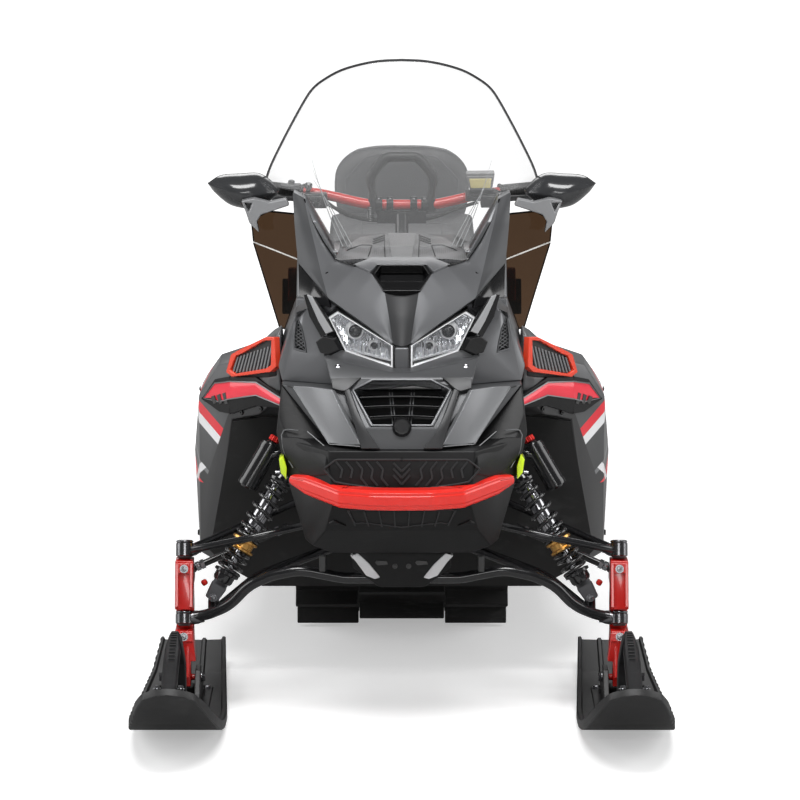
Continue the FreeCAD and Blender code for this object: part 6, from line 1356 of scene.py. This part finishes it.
cup_high = np.array([(151, -396, 1120), (218, -391, 1120), (218, -340, 1120), (151, -345, 1120)])
make("fluid_cup", [prism(cup_low, cup_high)], cup_grey, "handlebar", round_off=3)
make("fluid_cup_lid", [prism(cup_high, cup_high + (0, 0, 6))], cup_grey, "handlebar", round_off=2)
window = np.array([(162, -394.5, 1090), (208, -391, 1090), (211, -394, 1113), (158, -397.4, 1113)])
make("fluid_cup_window", [prism(window, window + (0, 4, 0))], fluid, "handlebar", round_off=1.5)
make("brake_cylinder", [turned((150, -372, 1070), (1, 0.08, 0.03), [
    (0, 0), (0, 14), (70, 15), (78, 9), (86, 9), (86, 0)], 24),
    box((172, 206), (-378, -342), (1066, 1086))], control_plastic, "handlebar", round_off=2)
make("control_hoses", [wire(flow(line, 12), 4.2, 10, up=(0, 0, 1)) for line in (
    [(178, -356, 1052), (130, -372, 1040), (92, -366, 1022), (52, -352, 1010), (40, -345, 1007)],
    [(-178, -356, 1048), (-132, -366, 1028), (-96, -362, 1012), (-60, -350, 1008), (-44, -345, 1006)],
    [(-184, -340, 1056), (-140, -330, 1018), (-92, -332, 1010), (-52, -338, 1008), (-44, -338, 1007)])],
     rubber, "handlebar")
share = np.linspace(0, 1, 150)
spiral = np.column_stack([-74 + 7 * np.cos(share * 16 * np.pi), -352 + 7 * np.sin(share * 16 * np.pi),
                          1042 - share * 34])
make("stop_switch_coil", [wire(spiral, 1.6, 6, up=(0, 0, 1))], gloss_black, "handlebar")

# ---------------------------------------------------------------- grab hook
# A thick rubber-covered loop over the middle of the bar. It is narrowed a little above its
# two black feet, which are fixed to the bar.
half_hook = np.array([(66, -345, 1050), (70, -345, 1078), (76, -345, 1112), (52, -345, 1142),
                      (36, -345, 1158.5), (14, -345, 1159)])
hook_line = flow(np.concatenate([half_hook * (-1, 1, 1), half_hook[::-1]]), 12)
waist = 1 - 0.28 * np.exp(-((hook_line[:, 2:] - 1078) / 16) ** 2)
make("grab_hook_loop", [wire(hook_line, 12, 14, up=(0, 1, 0), grow=np.repeat(waist, 2, 1))],
     finish("hook rubber", (0.014, 0.014, 0.014), 0.5, grain=1300, relief=0.15), "handlebar",
     slot="grip_rubber", crease=40, replaces=["grab_hook"])
twins("grab_hook_feet", [turned((66, -345, 1030), (0.05, 0, 1), [
    (0, 0), (0, 15), (26, 14), (30, 12), (30, 0)], 16)], matt_black, "handlebar", crease=40)

# ---------------------------------------------------------------- track
# One moulded rubber belt, a closed loop round the wheels, with full-width cross lugs whose
# edges are rounded.
track_rubber = finish("track rubber", (0.012, 0.012, 0.012), 0.62, grain=1100, relief=0.25, mottle=0.2,
                      scuffs=0.3)
from_node("track_belt", "track", track_rubber, "track_rubber", 2.5, 0.5)

# ---------------------------------------------------------------- slide rails, wheels and axles
# Black alloy rails on plastic slides, rubber-tyred wheels with spoked discs, steel axles
# with bolt heads, and painted arms.
rail_alloy = finish("rail coating", (0.02, 0.02, 0.021), 0.35, grain=700, relief=0.04, metallic=0.4,
                    scuffs=0.4)
from_node("slide_rail_bars", "slide_rails", rail_alloy, "rail_alloy", 1.5)
axle_steel = finish("axle steel", (0.45, 0.45, 0.46), 0.3, relief=0.02, metallic=1.0)
from_node("wheel_axle_rods", "wheel_axles", axle_steel, "axle_steel")
from_node("track_arm_struts", "track_arms", black_paint, "black_paint", 0.5)


def spoked_wheel(spot, radius):
    """A 26 mm wide wheel about x: its tyre, a thin dished disc with a raised rim and hub, and eight ribs."""
    tyre = [(-13, radius - 9), (-13, radius - 3), (-10, radius - 0.5), (10, radius - 0.5), (13, radius - 3),
            (13, radius - 9), (-13, radius - 9)]
    disc = [(-12, radius - 9), (12, radius - 9), (12, radius - 14), (4, radius - 18), (4, 28), (13, 25),
            (13, 14.5), (-13, 14.5), (-13, 25), (-4, 28), (-4, radius - 18), (-12, radius - 14),
            (-12, radius - 9)]
    shells = [turned(spot, (1, 0, 0), profile, 40, False) for profile in (tyre, disc)]
    for turn in np.arange(8) * np.pi / 4:
        side, outward = np.array([(0, -np.sin(turn), np.cos(turn)), (0, np.cos(turn), np.sin(turn))])
        foot = np.array([spot + outward * 24 + side * lean + (x, 0, 0)
                         for lean, x in ((-3, -10), (3, -10), (3, 10), (-3, 10))])
        shells.append(prism(foot, foot + outward * (radius - 39)))
    return shells


wheel_spots = [((x, 948, 143.3), 95) for x in (40, 165)]
wheel_spots += [((150, y, 114.3), 66) for y in (-56.5, 289.9, 636.3)] + [((150, 235, 385), 58)]
wheels = [spoked_wheel(spot, radius) for spot, radius in wheel_spots]
twins("wheel_tyres", [tyre for tyre, *_ in wheels], rubber, round_off=0.8)
twins("wheel_discs", [shell for _, *disc in wheels for shell in disc],
      finish("wheel plastic", (0.02, 0.02, 0.021), 0.45, relief=0.06), slot="wheel_plastic",
      round_off=0.5, crease=40, replaces=["idler_wheels"])
twins("wheel_axle_bolts", [shell for (x, y, z), _ in wheel_spots[1:]
                           for shell in hexagon_bolt((x + 14, y, z), (1, 0, 0), 9, 7)], bright_steel)
from_node("drive_axle_drums", "drive_axle", axle_steel, "axle_steel", 0.8)

# ---------------------------------------------------------------- rear rack, bumper, hitch and tail light
# Black painted steel tubes and plate work at the tunnel's end, with a red plastic light bar
# with a ribbed lens and a rubber flap below.
rack_paint = finish("rack paint", (0.015, 0.015, 0.0155), 0.32, grain=900, relief=0.03, coat_weight=0.3)
for name, node_name, round_off in (
        ("backrest_tubes", "backrest_frame", 0), ("rear_rack_tubes", "rear_rack", 0),
        ("rear_bumper_tube", "rear_bumper", 0), ("hitch_plate", "hitch", 1.5)):
    from_node(name, node_name, rack_paint, "rack_paint", round_off)
lamp_red = finish("tail lamp red", (0.55, 0.005, 0.008), 0.12, grain=250, relief=0.15, mottle=0.1,
                  scuffs=0.02, coat_weight=0.8, coat_roughness=0.04)
from_node("tail_light_lens", "tail_light", lamp_red, "lamp_red", 3)
make("tail_light_ribs", [box((x, x + 3), (1329, 1332), (563, 593)) for x in range(-104, 104, 8)],
     lamp_red, round_off=0.8)
flap_rubber = finish("flap rubber", (0.015, 0.015, 0.015), 0.6, relief=0.15)
from_node("snow_flap_sheet", "snow_flap", flap_rubber, "flap_rubber", 2)

# ---------------------------------------------------------------- seat and backrest
# Foam pads in black vinyl, one on the tunnel and one on the backrest's tubes. Each starts a
# little small, swells in a short cloth run under pressure, and gets its sewn lines afterwards.
seat_vinyl, tree, shell = blank("seat vinyl")
place = node(tree, "ShaderNodeTexCoord").outputs["Object"]
leather = node(tree, "ShaderNodeTexVoronoi", [("Vector", place), ("Scale", 420.0)],
               feature="DISTANCE_TO_EDGE")
cloud = noise(tree, 6.0, 5.0, place)
tree.links.new(mixed(tree, cloud, (0.045, 0.045, 0.047), (0.075, 0.075, 0.078)), shell.inputs["Base Color"])
tree.links.new(ranged(tree, cloud, 0, 1, 0.42, 0.6), shell.inputs["Roughness"])
bumped(tree, shell, leather.outputs["Distance"], 0.4, 0.5)


def linked(name, data):
    """A new object in the scene."""
    made = bpy.data.objects.new(name, data)
    bpy.context.scene.collection.objects.link(made)
    return made


def modified(obj):
    """A mesh of an object as its modifiers leave it, and its corners in metres."""
    mesh = bpy.data.meshes.new_from_object(obj.evaluated_get(bpy.context.evaluated_depsgraph_get()))
    spots = np.empty(len(mesh.vertices) * 3)
    mesh.vertices.foreach_get("co", spots)
    return mesh, spots.reshape(-1, 3)


def padding(name, rings, cap, voxel):
    """A pad blown up from a core: remeshed, then given cloth pressure for 20 frames.

    Each corner moves at most the cap, in millimetres. Smoothing and a subdivision come last.
    """
    obj = linked(name, shell_mesh(f"{name}_core", [grid(np.stack(rings), ring=True)]))
    bpy.context.view_layer.objects.active = obj
    even = obj.modifiers.new("even mesh", "REMESH")
    even.mode = "VOXEL"
    even.voxel_size = voxel
    baked, start = modified(obj)
    obj.modifiers.clear()
    obj.data = baked
    cloth = obj.modifiers.new("padding", "CLOTH")
    cloth.settings.use_pressure = True
    cloth.settings.uniform_pressure_force = 4
    cloth.settings.effector_weights.gravity = 0
    cloth.settings.tension_stiffness = cloth.settings.compression_stiffness = 25
    for frame_number in range(1, 21):
        bpy.context.scene.frame_set(frame_number)
    step = modified(obj)[1] - start
    length = np.linalg.norm(step, axis=1, keepdims=True).clip(1e-9)
    start = start + step * np.minimum(1, cap * MM / length)
    obj.modifiers.clear()
    bpy.context.scene.frame_set(1)
    baked.vertices.foreach_set("co", start.ravel())
    smoothing = obj.modifiers.new("smoothing", "SMOOTH")
    smoothing.factor, smoothing.iterations = 0.5, 6
    finer = obj.modifiers.new("one subdivision", "SUBSURF")
    finer.levels = finer.render_levels = 1
    made = modified(obj)[0]
    made.name = name
    bpy.data.objects.remove(obj)
    return made


sides = np.array([(-142, 570), (-142, 812), (0, 789), (372, 789), (455, 852), (890, 858), (862, 570)], float)
half_width = np.interp(sides[:, 1], [560, 768, 822, 862], [150, 187, 203, 194])
core = [np.column_stack([half_width * share, sides]) for share in np.linspace(-1, 1, 9)]
seat_pad = piece("seat_pad", padding("seat_pad", core, 10, 0.009), seat_vinyl, "chassis",
                 slot="seat_vinyl", crease=60, replaces=["seat"])
back_edge = through([(0, 828), (146, 829), (176, 845), (188, 900), (189, 940), (184, 972), (162, 1004),
                     (124, 1030), (78, 1041), (38, 1043), (0, 1043)], 5)
outline = np.concatenate([back_edge[:-1], back_edge[:0:-1] * (-1, 1)])
core = [layer(spread_out(outline, (0, 955), size), y, 1) for y, size in (
    (915, 0.93), (918, 0.985), (926, 1.0), (950, 1.0), (958, 0.985), (961, 0.93))]
back_pad = piece("backrest_pad", padding("backrest_pad", core, 8, 0.007), seat_vinyl, "chassis",
                 slot="seat_vinyl", crease=60, replaces=["backrest"])


def seam(pad, line, towards, up):
    """A sewn line: points dropped along a direction on to a pad, 0.6 mm proud, with a thread along them."""
    found = [pad.ray_cast(Vector(spot * MM), Vector(towards)) for spot in line]
    points = [np.array(place + normal * 0.6 * MM) / MM for hit, place, normal, _ in found if hit]
    return wire(np.array(points), 1.5, 6, up=up)


half_loop = np.array([(-150, 700, 890), (-152, 700, 948), (-96, 700, 1006), (-36, 700, 1018)])
loop = resampled(np.concatenate([half_loop, half_loop[::-1] * (-1, 1, 1)]), 90)
seams = [seam(back_pad, loop, (0, 1, 0), (0, 1, 0.2))]
seams += [seam(seat_pad, np.linspace((x, -128, 1000), (x, 868, 1000), 80), (0, 0, -1), (0, 0.3, 1))
          for x in (-104, 104)]
seams += [seam(seat_pad, np.linspace((-104, y, 1000), (104, y, 1000), 30), (0, 0, -1), (0, 1, 0.2))
          for y in (395, 640)]
make("seat_seams", seams, finish("seat thread", (0.10, 0.10, 0.105), 0.6, relief=0.1))

# ---------------------------------------------------------------- stage, light and camera
# A pale floor and white surroundings, five soft lamps, and the camera in front of the nose.
# The floor glows more with distance, and glossy parts see little of that glow.
floor = bpy.data.meshes.new("floor")
floor.from_pydata([(-40, -40, 0), (40, -40, 0), (40, 40, 0), (-40, 40, 0)], [], [(0, 1, 2, 3)])
linked("studio_floor", floor)
pale, tree, matt = blank("studio floor", roughness=0.9, emission_color=(1, 1, 1, 1))
rays = tree.nodes.new("ShaderNodeLightPath").outputs
sheen = maths(tree, "MULTIPLY", rays["Is Glossy Ray"], 0.22)
seen = maths(tree, "MAXIMUM", rays["Is Camera Ray"], maths(tree, "MAXIMUM", rays["Is Transmission Ray"], sheen))
spread = node(tree, "ShaderNodeMapping", [("Vector", node(tree, "ShaderNodeTexCoord").outputs["Object"]),
                                          ("Scale", (1.0, 0.62, 1.0))])
away = node(tree, "ShaderNodeVectorMath", [(0, spread.outputs[0])], operation="LENGTH").outputs["Value"]
glow = ranged(tree, away, 0.9, 2.2, 0.38, 1.0)
tree.links.new(maths(tree, "MULTIPLY", seen, glow), matt.inputs["Emission Strength"])
tree.links.new(mixed(tree, rays["Is Glossy Ray"], (0.86, 0.86, 0.86), (0.25, 0.25, 0.25)),
               matt.inputs["Base Color"])
floor.materials.append(pale)

world = bpy.data.worlds.new("studio")
bpy.context.scene.world = world
world.use_nodes = True
tree = world.node_tree
tree.nodes.clear()
rays = tree.nodes.new("ShaderNodeLightPath").outputs
seen = maths(tree, "MAXIMUM", rays["Is Camera Ray"], rays["Is Transmission Ray"])
soft, bright, mirrored_sky = (node(tree, "ShaderNodeBackground", [
    ("Color", (1, 1, 1, 1)), ("Strength", strength)]).outputs[0] for strength in (0.2, 1.0, 0.08))
first = node(tree, "ShaderNodeMixShader", [(0, rays["Is Glossy Ray"]), (1, soft), (2, mirrored_sky)])
second = node(tree, "ShaderNodeMixShader", [(0, seen), (1, first.outputs[0]), (2, bright)])
node(tree, "ShaderNodeOutputWorld", [("Surface", second.outputs[0])])

for name, place, aim, size, power in (
        ("top_box", (0, -2.6, 4.4), (0, -0.9, 0.7), (3.2, 1.6), 190),
        ("left_box", (-4.6, -0.8, 2.4), (0, -0.7, 0.6), (3.4, 3.8), 120),
        ("right_box", (4.6, -0.8, 2.4), (0, -0.7, 0.6), (3.4, 3.8), 110),
        ("front_box", (0, -7.4, 2.6), (0, -1.0, 0.6), (2.4, 0.8), 42),
        ("rear_box", (0, 4.6, 3.4), (0, 0.6, 0.6), (4.0, 2.0), 60)):
    lamp = bpy.data.lights.new(name, "AREA")
    lamp.shape = "RECTANGLE"
    lamp.size, lamp.size_y = size
    lamp.energy = power
    softbox = linked(name, lamp)
    softbox.location = place
    softbox.rotation_euler = (Vector(aim) - Vector(place)).to_track_quat("-Z", "Y").to_euler()

eye = bpy.data.cameras.new("camera")
eye.lens = 171.72
eye.sensor_width = 36
eye.shift_x = -0.00225
eye.clip_end = 200
viewer = linked("camera", eye)
viewer.location = (0, -9.2956, 2.2343)
viewer.rotation_euler = (math.radians(90 - 10.5), 0, 0)
bpy.context.scene.camera = viewer
bpy.context.scene.view_settings.view_transform = "Standard"
